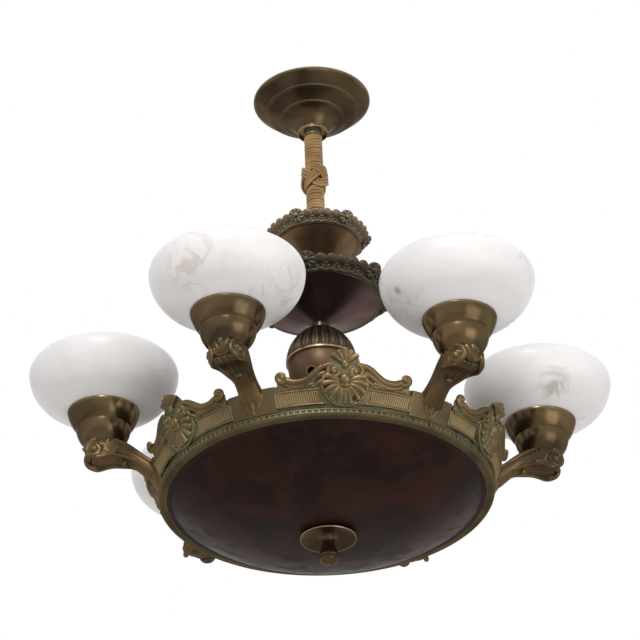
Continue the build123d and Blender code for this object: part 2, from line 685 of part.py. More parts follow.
def shade():
    """Turned alabaster bowl, elliptical below its widest point, with an in-turned lip and a hole below."""
    inner_r = SHADE_R - SHADE_WALL
    lip_top = SHADE_Z + SHADE_RISE
    below = elliptical(SHADE_R, SHADE_DEPTH)
    inside = elliptical(inner_r, SHADE_DEPTH - SHADE_WALL)
    lip_r = SHADE_MOUTH_R + SHADE_WALL * 0.4
    above = [below[-1][-1], (SHADE_R - 2, SHADE_Z + SHADE_RISE * 0.5), (lip_r, lip_top)]
    lip = [above[-1], (SHADE_MOUTH_R + 0.5, lip_top - 1), (SHADE_MOUTH_R, lip_top - 3)]
    under_lip = [lip[-1], (inner_r - 2.5, SHADE_Z + SHADE_RISE * 0.4), inside[-1][-1]]
    return turned(*below, above, lip, under_lip, inside[1][::-1], inside[0][::-1])


def nut_foot():
    """Height at which the ring nut rests on the shade's inside."""
    return SHADE_Z - ellipse_fall(SHADE_NUT_R, SHADE_R - SHADE_WALL, SHADE_DEPTH - SHADE_WALL) + SEAT


def shade_nuts():
    """The ring nuts that hold the shades down on their cups."""
    nut = disc(SHADE_NUT_R, nut_foot(), nut_foot() + SHADE_NUT_T, HOLDER_R + SEAT)
    return Compound([at_lamp(nut, angle) for angle in LAMP_ANGLES])


def bulb():
    """Small round bulb: a plain cap in the holder and a glass globe above it."""
    cap = disc(BULB_CAP_R, HOLDER_TOP - BULB_CAP_L, HOLDER_TOP + 1)
    low = HOLDER_TOP + 0.6
    globe_z = low + BULB_L - BULB_R
    side = [(BULB_CAP_R + 2, low), (BULB_CAP_R + 4.4, low + 6), (BULB_R * 0.86, globe_z - BULB_R * 0.5)]
    neck = turned(side, [side[-1], (0, side[-1][1])], [(0, side[-1][1]), (0, low)], [(0, low), side[0]])
    return cap + neck + Pos(0, 0, globe_z) * Sphere(BULB_R)


# ---- stem ----

def stem_cord():
    """The cord winding, as the sleeve that its turns fill."""
    return disc(CORD_R, UPPER_NECK_TOP + CORD_LIFT, FERRULE_TOP - FERRULE_L - FERRULE_T, TUBE_R + SEAT)


def stem_knot():
    """The plaited knot over the winding, as the barrel that its strands fill."""
    top = TUBE_TOP - KNOT_DROP
    bore = CORD_R + SEAT
    barrel = [(bore + 1, top), (KNOT_R, top - KNOT_H * 0.5), (bore + 1, top - KNOT_H)]
    return turned(barrel, [barrel[-1], (bore, top - KNOT_H)], [(bore, top - KNOT_H), (bore, top)])


def stem_ferrule():
    """Turned cap over the tube's upper end."""
    low = FERRULE_TOP - FERRULE_L - FERRULE_T + SEAT
    return disc(CORD_R, low, TUBE_TOP, TUBE_R + SEAT) + disc(CORD_R, TUBE_TOP, FERRULE_TOP, ROD_HOLE_R)


# ---- hanging eye and canopy ----

def wire_exit():
    """Cross hole that lets the wires out of the rod above the ferrule."""
    height = FERRULE_TOP + ROD_GRIP / 2
    return Pos(0, EYE_COLLAR_R, height) * Rot(90, 0, 0) * Cylinder(WIRE_EXIT_R, EYE_COLLAR_R * 2)


def hanging_eye():
    """Eye plate on a round collar that is screwed on the rod. Its bore takes the ceiling hook, along X."""
    collar = disc(EYE_COLLAR_R, FERRULE_TOP, FERRULE_TOP + EYE_COLLAR_H)
    plate = Pos(0, 0, EYE_Z) * Rot(0, 90, 0) * Cylinder(EYE_R, EYE_T)
    bore = Pos(0, 0, EYE_Z) * Rot(0, 90, 0) * Cylinder(EYE_BORE_R, EYE_T * 2)
    socket = disc(ROD_R + SEAT, FERRULE_TOP, FERRULE_TOP + ROD_GRIP + SEAT)
    return collar + plate - bore - socket - wire_exit()


def canopy_side():
    """Outside of the canopy from its rim at the ceiling, over two steps, down the neck to its mouth."""
    one = CEILING - STEP_ONE_DROP
    two = CEILING - STEP_TWO_DROP
    rim = [(CANOPY_R, CEILING), (CANOPY_R, CEILING - RIM_BAND)]
    cone = [rim[-1], (STEP_ONE_R + 8.5, CEILING - 10.5), (STEP_ONE_R + 1, one + 2)]
    bead = [cone[-1], (STEP_ONE_R, one - 0.5)]
    shoulder = [bead[-1], (STEP_ONE_R * 0.86, one - 5), (STEP_TWO_R + 1, two + 2)]
    bead_two = [shoulder[-1], (STEP_TWO_R, two - 0.5)]
    high = (NECK_HIGH_R, MOUTH + NECK_HIGH_RISE)
    low = (NECK_LOW_R, MOUTH + NECK_LOW_RISE)
    neck = [bead_two[-1], (STEP_TWO_R * 0.78, two - 5.5), high]
    return [rim, cone, bead, shoulder, bead_two, neck, [high, low], [low, (MOUTH_R, MOUTH)]]


def canopy():
    """Spun canopy of even wall."""
    return spun(canopy_side(), CANOPY_WALL)


def canopy_collar():
    """Split spring collar seated in the canopy's neck, which grips the stem by friction."""
    seat = inner_runs(canopy_side(), CANOPY_WALL + SEAT)[-2]
    (high_r, high), (low_r, low) = seat
    bore = CORD_R + SLIDE_FIT
    ring = turned(*corners([(bore, low), (low_r, low), (high_r, high), (bore, high)]))
    slit = Pos(NECK_HIGH_R / 2, 0, MOUTH + NECK_HIGH_RISE) * Box(NECK_HIGH_R, COLLAR_SLIT, NECK_HIGH_RISE * 4)
    return ring - slit


def main():
    os.makedirs("parts", exist_ok=True)
    save("pan", pan())
    save("rosette_washer", rosette_washer())
    save("finial", finial())
    save("centre_rod", centre_rod())
    save("hub_body", hub_body())
    save("fluted_bell", fluted_bell())
    save("lower_dish", lower_dish())
    save("lower_crown", crown(LOWER_DISH_R, LOWER_RIM, LOWER_LOBES, LOWER_CROWN_TURN))
    save("upper_dish", upper_dish())
    save("upper_crown", crown(UPPER_DISH_R, UPPER_RIM, UPPER_LOBES, 0))
    save("stem_tube", disc(TUBE_R, TUBE_FOOT, TUBE_TOP, TUBE_BORE_R))
    save("stem_cord", stem_cord())
    save("stem_knot", stem_knot())
    save("stem_ferrule", stem_ferrule())
    save("hanging_eye", hanging_eye())
    save("canopy", canopy())
    save("canopy_collar", canopy_collar())
    save("gallery_ring", gallery_ring())
    save("arm_screws", arm_screws())
    save("shade_nuts", shade_nuts())
    one_crest = crest()
    for number, angle in enumerate(CREST_ANGLES, 1):
        save(f"crest_{number}", round_z(one_crest, angle + 90))
    one_arm = arm()
    lamp_pieces = {"cup": cup(), "lampholder": lampholder(), "shade": shade(), "bulb": bulb()}
    for number, angle in enumerate(LAMP_ANGLES, 1):
        save(f"arm_{number}", round_z(one_arm, angle))
        for name, piece in lamp_pieces.items():
            save(f"{name}_{number}", at_lamp(piece, angle))


main()
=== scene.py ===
from math import atan2, cos, hypot, pi, radians, sin

import bpy
from mathutils import Matrix, Vector


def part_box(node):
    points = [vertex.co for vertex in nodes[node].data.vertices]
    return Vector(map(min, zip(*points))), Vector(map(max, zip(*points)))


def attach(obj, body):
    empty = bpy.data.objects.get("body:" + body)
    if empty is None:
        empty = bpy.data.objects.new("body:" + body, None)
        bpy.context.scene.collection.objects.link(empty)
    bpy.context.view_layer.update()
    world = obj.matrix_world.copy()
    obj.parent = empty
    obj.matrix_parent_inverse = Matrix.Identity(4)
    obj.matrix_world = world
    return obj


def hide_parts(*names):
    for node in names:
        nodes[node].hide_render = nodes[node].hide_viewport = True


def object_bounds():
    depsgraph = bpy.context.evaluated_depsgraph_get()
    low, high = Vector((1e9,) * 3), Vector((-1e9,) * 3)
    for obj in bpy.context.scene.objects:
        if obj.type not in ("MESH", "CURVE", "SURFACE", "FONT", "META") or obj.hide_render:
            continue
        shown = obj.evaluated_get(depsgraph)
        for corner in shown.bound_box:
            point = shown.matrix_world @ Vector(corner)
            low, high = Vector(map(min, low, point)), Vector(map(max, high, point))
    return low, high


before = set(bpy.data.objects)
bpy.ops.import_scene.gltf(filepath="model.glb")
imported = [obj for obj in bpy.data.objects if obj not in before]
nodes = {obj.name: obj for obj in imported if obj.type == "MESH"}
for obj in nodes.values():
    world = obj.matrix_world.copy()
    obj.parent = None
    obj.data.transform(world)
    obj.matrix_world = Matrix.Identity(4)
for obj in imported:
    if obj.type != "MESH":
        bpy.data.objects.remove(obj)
cad_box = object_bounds()

# ---- canopy ----
# Spun brass cover for the ceiling hook, in two steps with a trumpet neck. It is bronzed to a dark olive
# brown and lacquered, and a split spring collar inside its neck holds it on the stem.


def colour(red, green, blue):
    """A linear colour from the 0 to 255 values that a colour picker shows."""
    def linear(value):
        share = value / 255
        return share / 12.92 if share <= 0.04045 else ((share + 0.055) / 1.055) ** 2.4
    return linear(red), linear(green), linear(blue), 1.0


def new_material(name):
    """An empty material, given back with its node tree and its shader."""
    material = bpy.data.materials.new(name)
    material.use_nodes = True
    return material, material.node_tree, material.node_tree.nodes["Principled BSDF"]


def node(tree, kind, inputs, **settings):
    """Adds a node, sets it up, and feeds its inputs with values or with other nodes' outputs."""
    made = tree.nodes.new("ShaderNode" + kind)
    for key, value in settings.items():
        setattr(made, key, value)
    for socket, value in inputs.items():
        if isinstance(value, bpy.types.NodeSocket):
            tree.links.new(value, made.inputs[socket])
        else:
            made.inputs[socket].default_value = value
    return made


def object_coordinates(tree):
    return node(tree, "TexCoord", {}).outputs["Object"]


def noise(tree, place, scale, detail=4.0, distortion=0.0):
    """Cloudy grey pattern, from 0 to 1, with about one cloud in 1/scale metres."""
    inputs = {"Vector": place, "Scale": scale, "Detail": detail, "Distortion": distortion}
    return node(tree, "TexNoise", inputs).outputs["Fac"]


def between(tree, value, low, high):
    """0 below low, 1 above high, and smooth between them."""
    inputs = {"Value": value, "From Min": low, "From Max": high}
    return node(tree, "MapRange", inputs, interpolation_type="SMOOTHSTEP").outputs["Result"]


def blended(tree, share, first, second):
    """The second colour laid over the first by a share."""
    return node(tree, "Mix", {0: share, 6: first, 7: second}, data_type="RGBA").outputs[2]


def times(tree, first, second):
    return node(tree, "Math", {0: first, 1: second}, operation="MULTIPLY").outputs[0]


def feed(tree, shader, **links):
    """Links outputs to the shader's sockets, whose names are written with _ for a space."""
    for socket, output in links.items():
        tree.links.new(output, shader.inputs[socket.replace("_", " ")])


CLOUD_SCALE = 14.0        # clouds of the bronzing, about 70 mm across
GRAIN_SCALE = 420.0       # fine grain of the lacquered skin
GRAIN_DEPTH = 0.00012
HOLLOW_REACH = 0.006      # how near another wall is where green patina gathers


def bronze(name, dark, light, rubbed, green, green_share, roughness, rub_share=0.6):
    """Bronzed brass: a clouded brown skin, rubbed bright on its edges and green in its hollows."""
    material, tree, shader = new_material(name)
    place = object_coordinates(tree)
    clouds = between(tree, noise(tree, place, CLOUD_SCALE, 6.0, 0.4), 0.35, 0.68)
    fine = noise(tree, place, GRAIN_SCALE, 3.0)
    skin = blended(tree, clouds, dark, light)
    edge = between(tree, node(tree, "NewGeometry", {}).outputs["Pointiness"], 0.505, 0.56)
    skin = blended(tree, times(tree, edge, rub_share), skin, rubbed)
    open_share = node(tree, "AmbientOcclusion", {"Distance": HOLLOW_REACH}, samples=8).outputs["AO"]
    hollow = between(tree, open_share, 0.92, 0.45)
    patches = between(tree, noise(tree, place, 60.0, 5.0, 0.6), 0.3, 0.62)
    patina = times(tree, times(tree, hollow, patches), green_share)
    skin = blended(tree, patina, skin, green)
    matt = node(tree, "MapRange", {"Value": patina, "To Min": roughness, "To Max": 0.75}).outputs[0]
    metal = node(tree, "MapRange", {"Value": patina, "To Min": 0.85, "To Max": 0.0}).outputs[0]
    feed(tree, shader, Base_Color=skin, Roughness=matt, Metallic=metal)
    shader.inputs["Specular Tint"].default_value = (0.45, 0.42, 0.4, 1.0)
    relief = node(tree, "Bump", {"Height": fine, "Strength": 0.5, "Distance": GRAIN_DEPTH})
    feed(tree, shader, Normal=relief.outputs[0])
    return material


def dress(material, *names):
    """Gives CAD nodes their finish."""
    for name in names:
        slots = nodes[name].data.materials
        slots.clear()
        slots.append(material)


canopy_bronze = bronze("canopy_bronze", colour(60, 48, 38), colour(88, 74, 52), colour(150, 132, 100),
                       colour(82, 92, 74), 0.25, 0.3)
dress(canopy_bronze, "canopy")
spring_brass = bronze("spring_brass", colour(120, 98, 58), colour(150, 124, 76), colour(190, 165, 110),
                      colour(96, 110, 84), 0.3, 0.38)
dress(spring_brass, "canopy_collar")

# ---- hanging eye and centre rod ----
# Blackened steel eye that takes the ceiling hook, screwed on a dull zinc-plated pipe. The pipe runs down
# through the whole stack and clamps it between the eye and the finial.

SCRATCH_SCALE = 260.0     # across the pipe


def plated(name, base, roughness):
    """Dull plated or blackened steel, cloudy and finely scratched along Z."""
    material, tree, shader = new_material(name)
    place = object_coordinates(tree)
    stretched = node(tree, "Mapping", {"Vector": place, "Scale": (1, 1, 0.08)}).outputs[0]
    scratches = noise(tree, stretched, SCRATCH_SCALE, 3.0)
    clouds = noise(tree, place, 30.0, 5.0)
    darker = tuple(0.6 * part for part in base[:3]) + (1.0,)
    feed(tree, shader, Base_Color=blended(tree, between(tree, clouds, 0.3, 0.7), darker, base))
    matt = node(tree, "MapRange", {"Value": scratches, "To Min": roughness - 0.1, "To Max": roughness + 0.15})
    feed(tree, shader, Roughness=matt.outputs[0])
    shader.inputs["Metallic"].default_value = 1.0
    relief = node(tree, "Bump", {"Height": scratches, "Strength": 0.4, "Distance": 0.00005})
    feed(tree, shader, Normal=relief.outputs[0])
    return material


dress(plated("black_steel", colour(74, 72, 70), 0.45), "hanging_eye")
zinc_steel = plated("zinc_steel", colour(178, 178, 174), 0.4)
dress(zinc_steel, "centre_rod", "arm_screws")

# ---- stem tube and ferrule ----
# Brass tube over the rod, hidden by its winding, and the tarnished brass cap on its upper end, greenish
# where it shows inside the canopy's mouth.

dress(bronze("tube_brass", colour(150, 124, 76), colour(176, 148, 94), colour(205, 180, 124),
             colour(104, 116, 86), 0.3, 0.35), "stem_tube")
dress(bronze("ferrule_brass", colour(96, 94, 62), colour(126, 122, 82), colour(160, 150, 106),
             colour(118, 128, 94), 0.7, 0.5), "stem_ferrule")

# ---- cord winding ----
# Tan twisted cotton cord, one long piece wound tightly round the stem tube from the upper dish's neck to
# the ferrule. It is glued down, worn shiny on its high side and slightly uneven.

CORD_WIDTH = 0.0050       # along the stem, one turn
CORD_THICK = 0.0026       # off the stem: the cord is pressed a little flat
TURN_POINTS = 36          # points in one turn of the helix
STRAND_TWIST = 210.0      # strands of the cord's twist in a metre
ROUND_STEPS = 3           # of a quarter of a round cord or rod


def only(piece):
    """Selects one piece alone."""
    bpy.ops.object.select_all(action="DESELECT")
    piece.select_set(True)
    bpy.context.view_layer.objects.active = piece


def curve_piece(name, points, width, closed=False):
    """A round cord that follows points, as a mesh with a UV map along it."""
    line = bpy.data.curves.new(name, "CURVE")
    line.dimensions = "3D"
    line.resolution_u = 2
    line.bevel_depth = width / 2
    line.bevel_resolution = ROUND_STEPS
    line.use_fill_caps = not closed
    spline = line.splines.new("NURBS")
    spline.points.add(len(points) - 1)
    for control, point in zip(spline.points, points):
        control.co = (*point, 1.0)
    spline.order_u = 3
    spline.use_cyclic_u = closed
    spline.use_endpoint_u = not closed
    piece = bpy.data.objects.new(name, line)
    bpy.context.scene.collection.objects.link(piece)
    only(piece)
    bpy.ops.object.convert(target="MESH")
    return bpy.context.object


def cotton(name, dark, light, painted_gap_shade):
    """Twisted cotton cord, seen from its slanted strands, with painted shade in the gaps between turns."""
    material, tree, shader = new_material(name)
    place = object_coordinates(tree)
    wear = between(tree, noise(tree, place, 34.0, 5.0), 0.35, 0.65)
    skin = blended(tree, wear, dark, light)
    open_share = node(tree, "AmbientOcclusion", {"Distance": 0.003}, samples=8).outputs["AO"]
    # painted shade: the colour turns to a dark brown where other turns lie near, in the gaps
    skin = blended(tree, between(tree, open_share, 0.85, 0.35), skin, painted_gap_shade)
    around = node(tree, "Mapping", {"Vector": place, "Rotation": (0, 0, radians(30)), "Scale": (1, 1, 1.6)})
    twist = node(tree, "TexWave", {"Vector": around.outputs[0], "Scale": STRAND_TWIST, "Distortion": 1.5},
                 wave_type="BANDS", bands_direction="DIAGONAL").outputs["Fac"]
    fibres = noise(tree, place, 900.0, 3.0)
    height = node(tree, "Math", {0: twist, 1: fibres}, operation="ADD").outputs[0]
    relief = node(tree, "Bump", {"Height": height, "Strength": 0.6, "Distance": 0.0003})
    feed(tree, shader, Base_Color=skin, Normal=relief.outputs[0])
    shader.inputs["Roughness"].default_value = 0.62
    shader.inputs["Sheen Weight"].default_value = 0.25
    shader.inputs["Specular IOR Level"].default_value = 0.4
    return material


def flatten_round_stem(piece, radius, share):
    """Presses a round cord flat on the stem, towards its own centre line at a radius."""
    for vertex in piece.data.vertices:
        out = hypot(vertex.co.x, vertex.co.y)
        pressed = (radius + (out - radius) * share) / out
        vertex.co.x *= pressed
        vertex.co.y *= pressed


def coated(piece, material, crease=None):
    """One finish all over, shaded smooth, or smooth only up to a crease angle."""
    piece.data.materials.clear()
    piece.data.materials.append(material)
    only(piece)
    if crease is None:
        bpy.ops.object.shade_smooth()
    else:
        bpy.ops.object.shade_smooth_by_angle(angle=crease)


def adopt(piece, name, rides, replaced):
    """Names a finished piece, ties it to its body, and lets it take the place of a CAD node."""
    piece.name = name
    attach(piece, rides)
    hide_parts(replaced)


# the third colour is painted shade, for the gaps between the cord's turns
stem_cord = cotton("stem_cord", colour(142, 104, 58), colour(178, 142, 86), colour(70, 48, 25))
winding_low, winding_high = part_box("stem_cord")
winding_r = winding_high.x - CORD_THICK / 2
turns = round((winding_high.z - winding_low.z - CORD_WIDTH) / CORD_WIDTH)
pitch = (winding_high.z - winding_low.z - CORD_WIDTH) / turns
helix = []
for i in range(turns * TURN_POINTS + 1):
    turn = i / TURN_POINTS
    wobble = 0.0003 * sin(turn * 2.39) + 0.0002 * sin(turn * 5.1 + 1)
    helix.append((winding_r * cos(turn * 2 * pi), winding_r * sin(turn * 2 * pi),
                  winding_low.z + CORD_WIDTH / 2 + turn * pitch + wobble))
winding = curve_piece("cord_winding", helix, CORD_WIDTH)
flatten_round_stem(winding, winding_r, CORD_THICK / CORD_WIDTH)
coated(winding, stem_cord)
adopt(winding, "cord_winding", "fixture", "stem_cord")

# ---- plaited knot ----
# Sailor's knot of the same cord, plaited round the winding in three leads and led round three times side
# by side. It only decorates the stem.

KNOT_LEADS = 3
KNOT_BIGHTS = 4
KNOT_CORDS = 3            # cords that lie side by side
KNOT_CORD_D = 0.0046
knot_low, knot_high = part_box("stem_knot")
knot_mid_z = (knot_low.z + knot_high.z) / 2
knot_half_h = (knot_high.z - knot_low.z) / 2 - KNOT_CORD_D * KNOT_CORDS / 2
knot_r = knot_high.x - KNOT_CORD_D
for lane in range(KNOT_CORDS):
    offset = (lane - (KNOT_CORDS - 1) / 2) * KNOT_CORD_D * 0.92
    path = []
    steps = 60 * KNOT_LEADS
    for i in range(steps):
        angle = 2 * pi * KNOT_LEADS * i / steps
        phase = KNOT_BIGHTS * angle / KNOT_LEADS
        reach = 1 - 0.16 * (sin(phase) ** 2)
        slope = Vector((knot_r, knot_half_h * KNOT_BIGHTS / KNOT_LEADS * cos(phase))).normalized()
        side = -slope.y * offset, slope.x * offset
        r = knot_r * reach - 0.0019 * sin(2 * phase) + 0.0004
        turn = angle + side[0] / knot_r
        path.append((r * cos(turn), r * sin(turn), knot_mid_z + knot_half_h * sin(phase) + side[1]))
    strand = curve_piece(f"knot_cord_{lane + 1}", path, KNOT_CORD_D, closed=True)
    coated(strand, stem_cord)
    adopt(strand, f"knot_cord_{lane + 1}", "fixture", "stem_knot")

# ---- crowned dishes ----
# Two spun brass dishes, the upper one browner and the lower one nearly black. Each carries a cast crown
# on its rim: ribbed rosettes, domed tongues between them, and a row of sunk ovals below, green in hollows.

CROWN_LEAN = radians(44)  # these sizes are in millimetres, heights above the pan's rim
CROWN_BAYS = 6            # from one rosette to the next
UPPER_DISH_R = 58.4
UPPER_RIM_Z = 404.5
UPPER_SIZE = 0.82         # against the lower crown
LOWER_DISH_R = 84.0
LOWER_RIM_Z = 307.8
LOWER_TURN = 14           # degrees against the arms
VOXEL = 0.62              # the finest thing that a casting shows
PAN_SHEET = 1.5
pan_rim_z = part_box("pan")[1].z - PAN_SHEET / 1000


def current():
    return bpy.context.object


def joined(pieces):
    """One mesh of several, at the origin and unscaled."""
    bpy.ops.object.select_all(action="DESELECT")
    for piece in pieces:
        piece.select_set(True)
    bpy.context.view_layer.objects.active = pieces[0]
    bpy.ops.object.join()
    bpy.ops.object.transform_apply(location=True, rotation=True, scale=True)
    return current()


def modified(piece, kind, **settings):
    """Adds a modifier and applies it."""
    only(piece)
    bpy.ops.object.modifier_add(type=kind)
    modifier = piece.modifiers[-1]
    for key, value in settings.items():
        setattr(modifier, key, value)
    bpy.ops.object.modifier_apply(modifier=modifier.name)
    return piece


def block(size, place, cuts=0, bevel=0.0):
    """A box, cut up evenly so that it can be bent, with its edges rounded."""
    bpy.ops.mesh.primitive_cube_add(size=1, location=place, scale=size)
    bpy.ops.object.transform_apply(location=True, rotation=True, scale=True)
    if cuts:
        bpy.ops.object.mode_set(mode="EDIT")
        bpy.ops.mesh.select_all(action="SELECT")
        bpy.ops.mesh.subdivide(number_cuts=cuts)
        bpy.ops.object.mode_set(mode="OBJECT")
    piece = current()
    if bevel:
        modified(piece, "BEVEL", width=bevel, segments=3, limit_method="ANGLE")
    return piece


def ball(place, radius, squeeze=(1, 1, 1)):
    bpy.ops.mesh.primitive_uv_sphere_add(segments=24, ring_count=14, radius=radius, location=place,
                                         scale=squeeze)
    return current()


def facing(points, off):
    """Points of the flat front view, given as (across, up) or (across, up, off), off the piece's back."""
    return [(point[0], -(point[2] if len(point) > 2 else off), point[1]) for point in points]


def spiral(centre, start, sweep, first, last, count=14):
    """Points on a spiral in the front view, from a start angle in degrees through a sweep."""
    made = []
    for i in range(count):
        share = i / (count - 1)
        angle = radians(start + sweep * share)
        reach = first + (last - first) * share
        made.append((centre[0] + reach * cos(angle), centre[1] + reach * sin(angle)))
    return made


def strands(runs):
    """Rounded rods through runs of points, each with its radii spread evenly along it, as one mesh."""
    line = bpy.data.curves.new("strands", "CURVE")
    line.dimensions = "3D"
    line.resolution_u = 5
    line.bevel_depth = 1.0
    line.bevel_resolution = ROUND_STEPS
    line.use_fill_caps = True
    for points, radii in runs:
        spline = line.splines.new("NURBS")
        spline.points.add(len(points) - 1)
        for i, control in enumerate(spline.points):
            share = i * (len(radii) - 1) / (len(points) - 1)
            low = min(int(share), len(radii) - 2)
            control.co = (*points[i], 1.0)
            control.radius = radii[low] + (radii[low + 1] - radii[low]) * (share - low)
        spline.order_u = 3
        spline.use_endpoint_u = True
    piece = bpy.data.objects.new("strands", line)
    bpy.context.scene.collection.objects.link(piece)
    only(piece)
    bpy.ops.object.convert(target="MESH")
    return current()


def cast(parts, keep):
    """Melts overlapping parts into one skin, softens it, and keeps a share of its faces."""
    piece = joined(parts)
    piece.data.remesh_voxel_size = VOXEL
    only(piece)
    bpy.ops.object.voxel_remesh()
    modified(piece, "SMOOTH", factor=0.5, iterations=2)
    modified(piece, "DECIMATE", ratio=keep)
    return piece


def move_points(piece, placed):
    """Gives every point of a mesh the place that a function works out from its old one."""
    for vertex in piece.data.vertices:
        vertex.co = placed(vertex.co)
    piece.data.update()


def settled(point):
    """From millimetres above the pan's rim to the frame's metres."""
    return Vector((point.x / 1000, point.y / 1000, point.z / 1000 + pan_rim_z))


def copied(piece, angle):
    """A copy with its own mesh, turned about Z."""
    other = bpy.data.objects.new(piece.name, piece.data.copy())
    other.data.transform(Matrix.Rotation(angle, 4, "Z"))
    bpy.context.scene.collection.objects.link(other)
    return other


def crown(dish_r, rim, size, lobes, turn, material):
    """One crown, from a flat model of a sixth of it, bent to the band that leans out from the rim."""
    top = 21.5 * size         # slant height of the band with its tongues
    middle_r = dish_r + 1 + top / 2 * sin(CROWN_LEAN)
    bay = 2 * pi * middle_r / CROWN_BAYS
    rosette_r = 12.4 * size
    rosette_up = 15.6 * size
    pitch = (bay - 2 * rosette_r + 3) / lobes
    parts = [block((bay + 0.6, 2.2, top * 0.86), (0, 1.0, top * 0.43 - 0.4), 15),
             block((bay + 0.6, 5.0, 2.4), (0, 2.0, 0.2), 15),
             ball((0, -0.6, rosette_up), rosette_r, (1, 0.26, 1)),
             ball((0, -3.2, rosette_up + 1.5), 4.4 * size, (1, 0.9, 1))]
    end = bay / 2 + 0.4
    rosette_rim = spiral((0, rosette_up), -60, 300, rosette_r - 1.2, rosette_r - 1.2, 18)
    runs = [(facing([(-end, 10 * size), (0, 10 * size), (end, 10 * size)], 0.6), (1.0, 1.0)),
            (facing([(-end, 0.8), (0, 0.8), (end, 0.8)], 0.4), (1.2, 1.2)),
            (facing(rosette_rim, 1.6), (1.5, 1.5))]
    for i in range(9):
        angle = radians(-160 + 40 * i)
        near, far = 4.4 * size, rosette_r - 1.6
        rises = ((near, 3.2), ((near + far) / 2, 3.8), (far, 2.4))
        rib = [(r * sin(angle), rosette_up + r * cos(angle), off) for r, off in rises]
        runs.append((facing(rib, 0), (1.0, 1.5, 1.8)))
    once_round = [2 * pi * n / 12 for n in range(14)]
    for j in range(lobes):
        across = rosette_r - 1.5 + pitch * (j + 0.5)
        if across > bay / 2:
            across -= bay
        parts.append(ball((across, 0.6, 15.4 * size), 1, (pitch * 0.55, 3.2, 8.2 * size)))
        oval = [(across + pitch * 0.32 * cos(a), (5.2 + 2.9 * sin(a)) * size) for a in once_round]
        runs.append((facing(oval, 0.6), (1.0, 1.0)))
    piece = cast(parts + [strands(runs)], 0.35)

    def on_band(point):
        out = -point.y
        radius = dish_r + 1 + point.z * sin(CROWN_LEAN) + out * cos(CROWN_LEAN)
        height = rim + 1.5 + point.z * cos(CROWN_LEAN) - out * sin(CROWN_LEAN)
        angle = point.x / middle_r
        return Vector((radius * cos(angle), radius * sin(angle), height))

    move_points(piece, on_band)
    bays = [copied(piece, radians(turn) + 2 * pi * i / CROWN_BAYS) for i in range(CROWN_BAYS)]
    bpy.data.objects.remove(piece)
    whole = joined(bays)
    move_points(whole, settled)
    coated(whole, material)
    return whole


upper_bronze = bronze("upper_crown_bronze", colour(94, 82, 66), colour(122, 106, 84), colour(160, 152, 122),
                      colour(118, 136, 114), 0.9, 0.42)
lower_bronze = bronze("lower_crown_bronze", colour(62, 51, 42), colour(82, 68, 56), colour(124, 122, 98),
                      colour(92, 112, 96), 0.85, 0.42)
dress(upper_bronze, "upper_crown")
dress(lower_bronze, "lower_crown")
dress(bronze("upper_dish_bronze", colour(104, 84, 64), colour(142, 116, 86), colour(164, 138, 104),
             colour(90, 96, 78), 0.2, 0.32), "upper_dish")
dress(bronze("lower_dish_bronze", colour(82, 66, 66), colour(108, 88, 86), colour(130, 110, 96),
             colour(80, 80, 74), 0.15, 0.26), "lower_dish")
upper = crown(UPPER_DISH_R, UPPER_RIM_Z, UPPER_SIZE, 4, 0, upper_bronze)
adopt(upper, "upper_crown_casting", "fixture", "upper_crown")
lower = crown(LOWER_DISH_R, LOWER_RIM_Z, 1.0, 5, LOWER_TURN, lower_bronze)
adopt(lower, "lower_crown_casting", "fixture", "lower_crown")

# ---- fluted bell and hub body ----
# Cast bell with hollow flutes between narrow ridges that are rubbed bright, over a smooth brown turned
# body with a hole for the wires.

dress(bronze("bell_bronze", colour(57, 46, 39), colour(77, 62, 51), colour(178, 158, 128),
             colour(76, 82, 68), 0.3, 0.36, rub_share=0.95), "fluted_bell")
dress(bronze("hub_bronze", colour(78, 62, 48), colour(106, 86, 66), colour(140, 118, 90),
             colour(86, 92, 72), 0.2, 0.46), "hub_body")

# ---- pan ----
# Bowl spun from sheet metal, with a mottled oxblood and black patina under a satin lacquer. Its flat
# flange carries the ring, and the centre rod passes its bottom.


def mottled(name, black, red, tan):
    """Mottled patina: red-brown clouds and darker stains with soft brush marks, under satin lacquer."""
    material, tree, shader = new_material(name)
    place = object_coordinates(tree)
    clouds = between(tree, noise(tree, place, 9.0, 8.0, 0.8), 0.38, 0.66)
    stains = between(tree, noise(tree, place, 26.0, 7.0, 1.2), 0.45, 0.7)
    freckles = between(tree, noise(tree, place, 160.0, 4.0), 0.52, 0.7)
    skin = blended(tree, clouds, black, red)
    skin = blended(tree, times(tree, stains, 0.45), skin, tan)
    skin = blended(tree, times(tree, freckles, 0.25), skin, black)
    matt = node(tree, "MapRange", {"Value": stains, "To Min": 0.4, "To Max": 0.55}).outputs[0]
    feed(tree, shader, Base_Color=skin, Roughness=matt)
    shader.inputs["Specular IOR Level"].default_value = 0.05
    dents = noise(tree, place, 55.0, 5.0)
    relief = node(tree, "Bump", {"Height": dents, "Strength": 0.25, "Distance": 0.0006})
    feed(tree, shader, Normal=relief.outputs[0])
    return material


def lathe(profile, steps):
    """A closed half section of (radius, height), turned once round Z."""
    outline = bpy.data.meshes.new("outline")
    count = len(profile)
    outline.from_pydata([(r, 0, z) for r, z in profile], [(i, (i + 1) % count) for i in range(count)], [])
    piece = bpy.data.objects.new("outline", outline)
    bpy.context.scene.collection.objects.link(piece)
    only(piece)
    bpy.ops.object.mode_set(mode="EDIT")
    bpy.ops.mesh.select_all(action="SELECT")
    bpy.ops.mesh.spin(steps=steps, angle=2 * pi, center=(0, 0, 0), axis=(0, 0, 1))
    bpy.ops.mesh.select_all(action="SELECT")
    bpy.ops.mesh.remove_doubles(threshold=0.0001)
    bpy.ops.mesh.normals_make_consistent(inside=False)
    bpy.ops.object.mode_set(mode="OBJECT")
    return piece


pan_patina = mottled("pan_patina", colour(33, 22, 20), colour(52, 29, 24), colour(58, 39, 31))
dress(pan_patina, "pan")

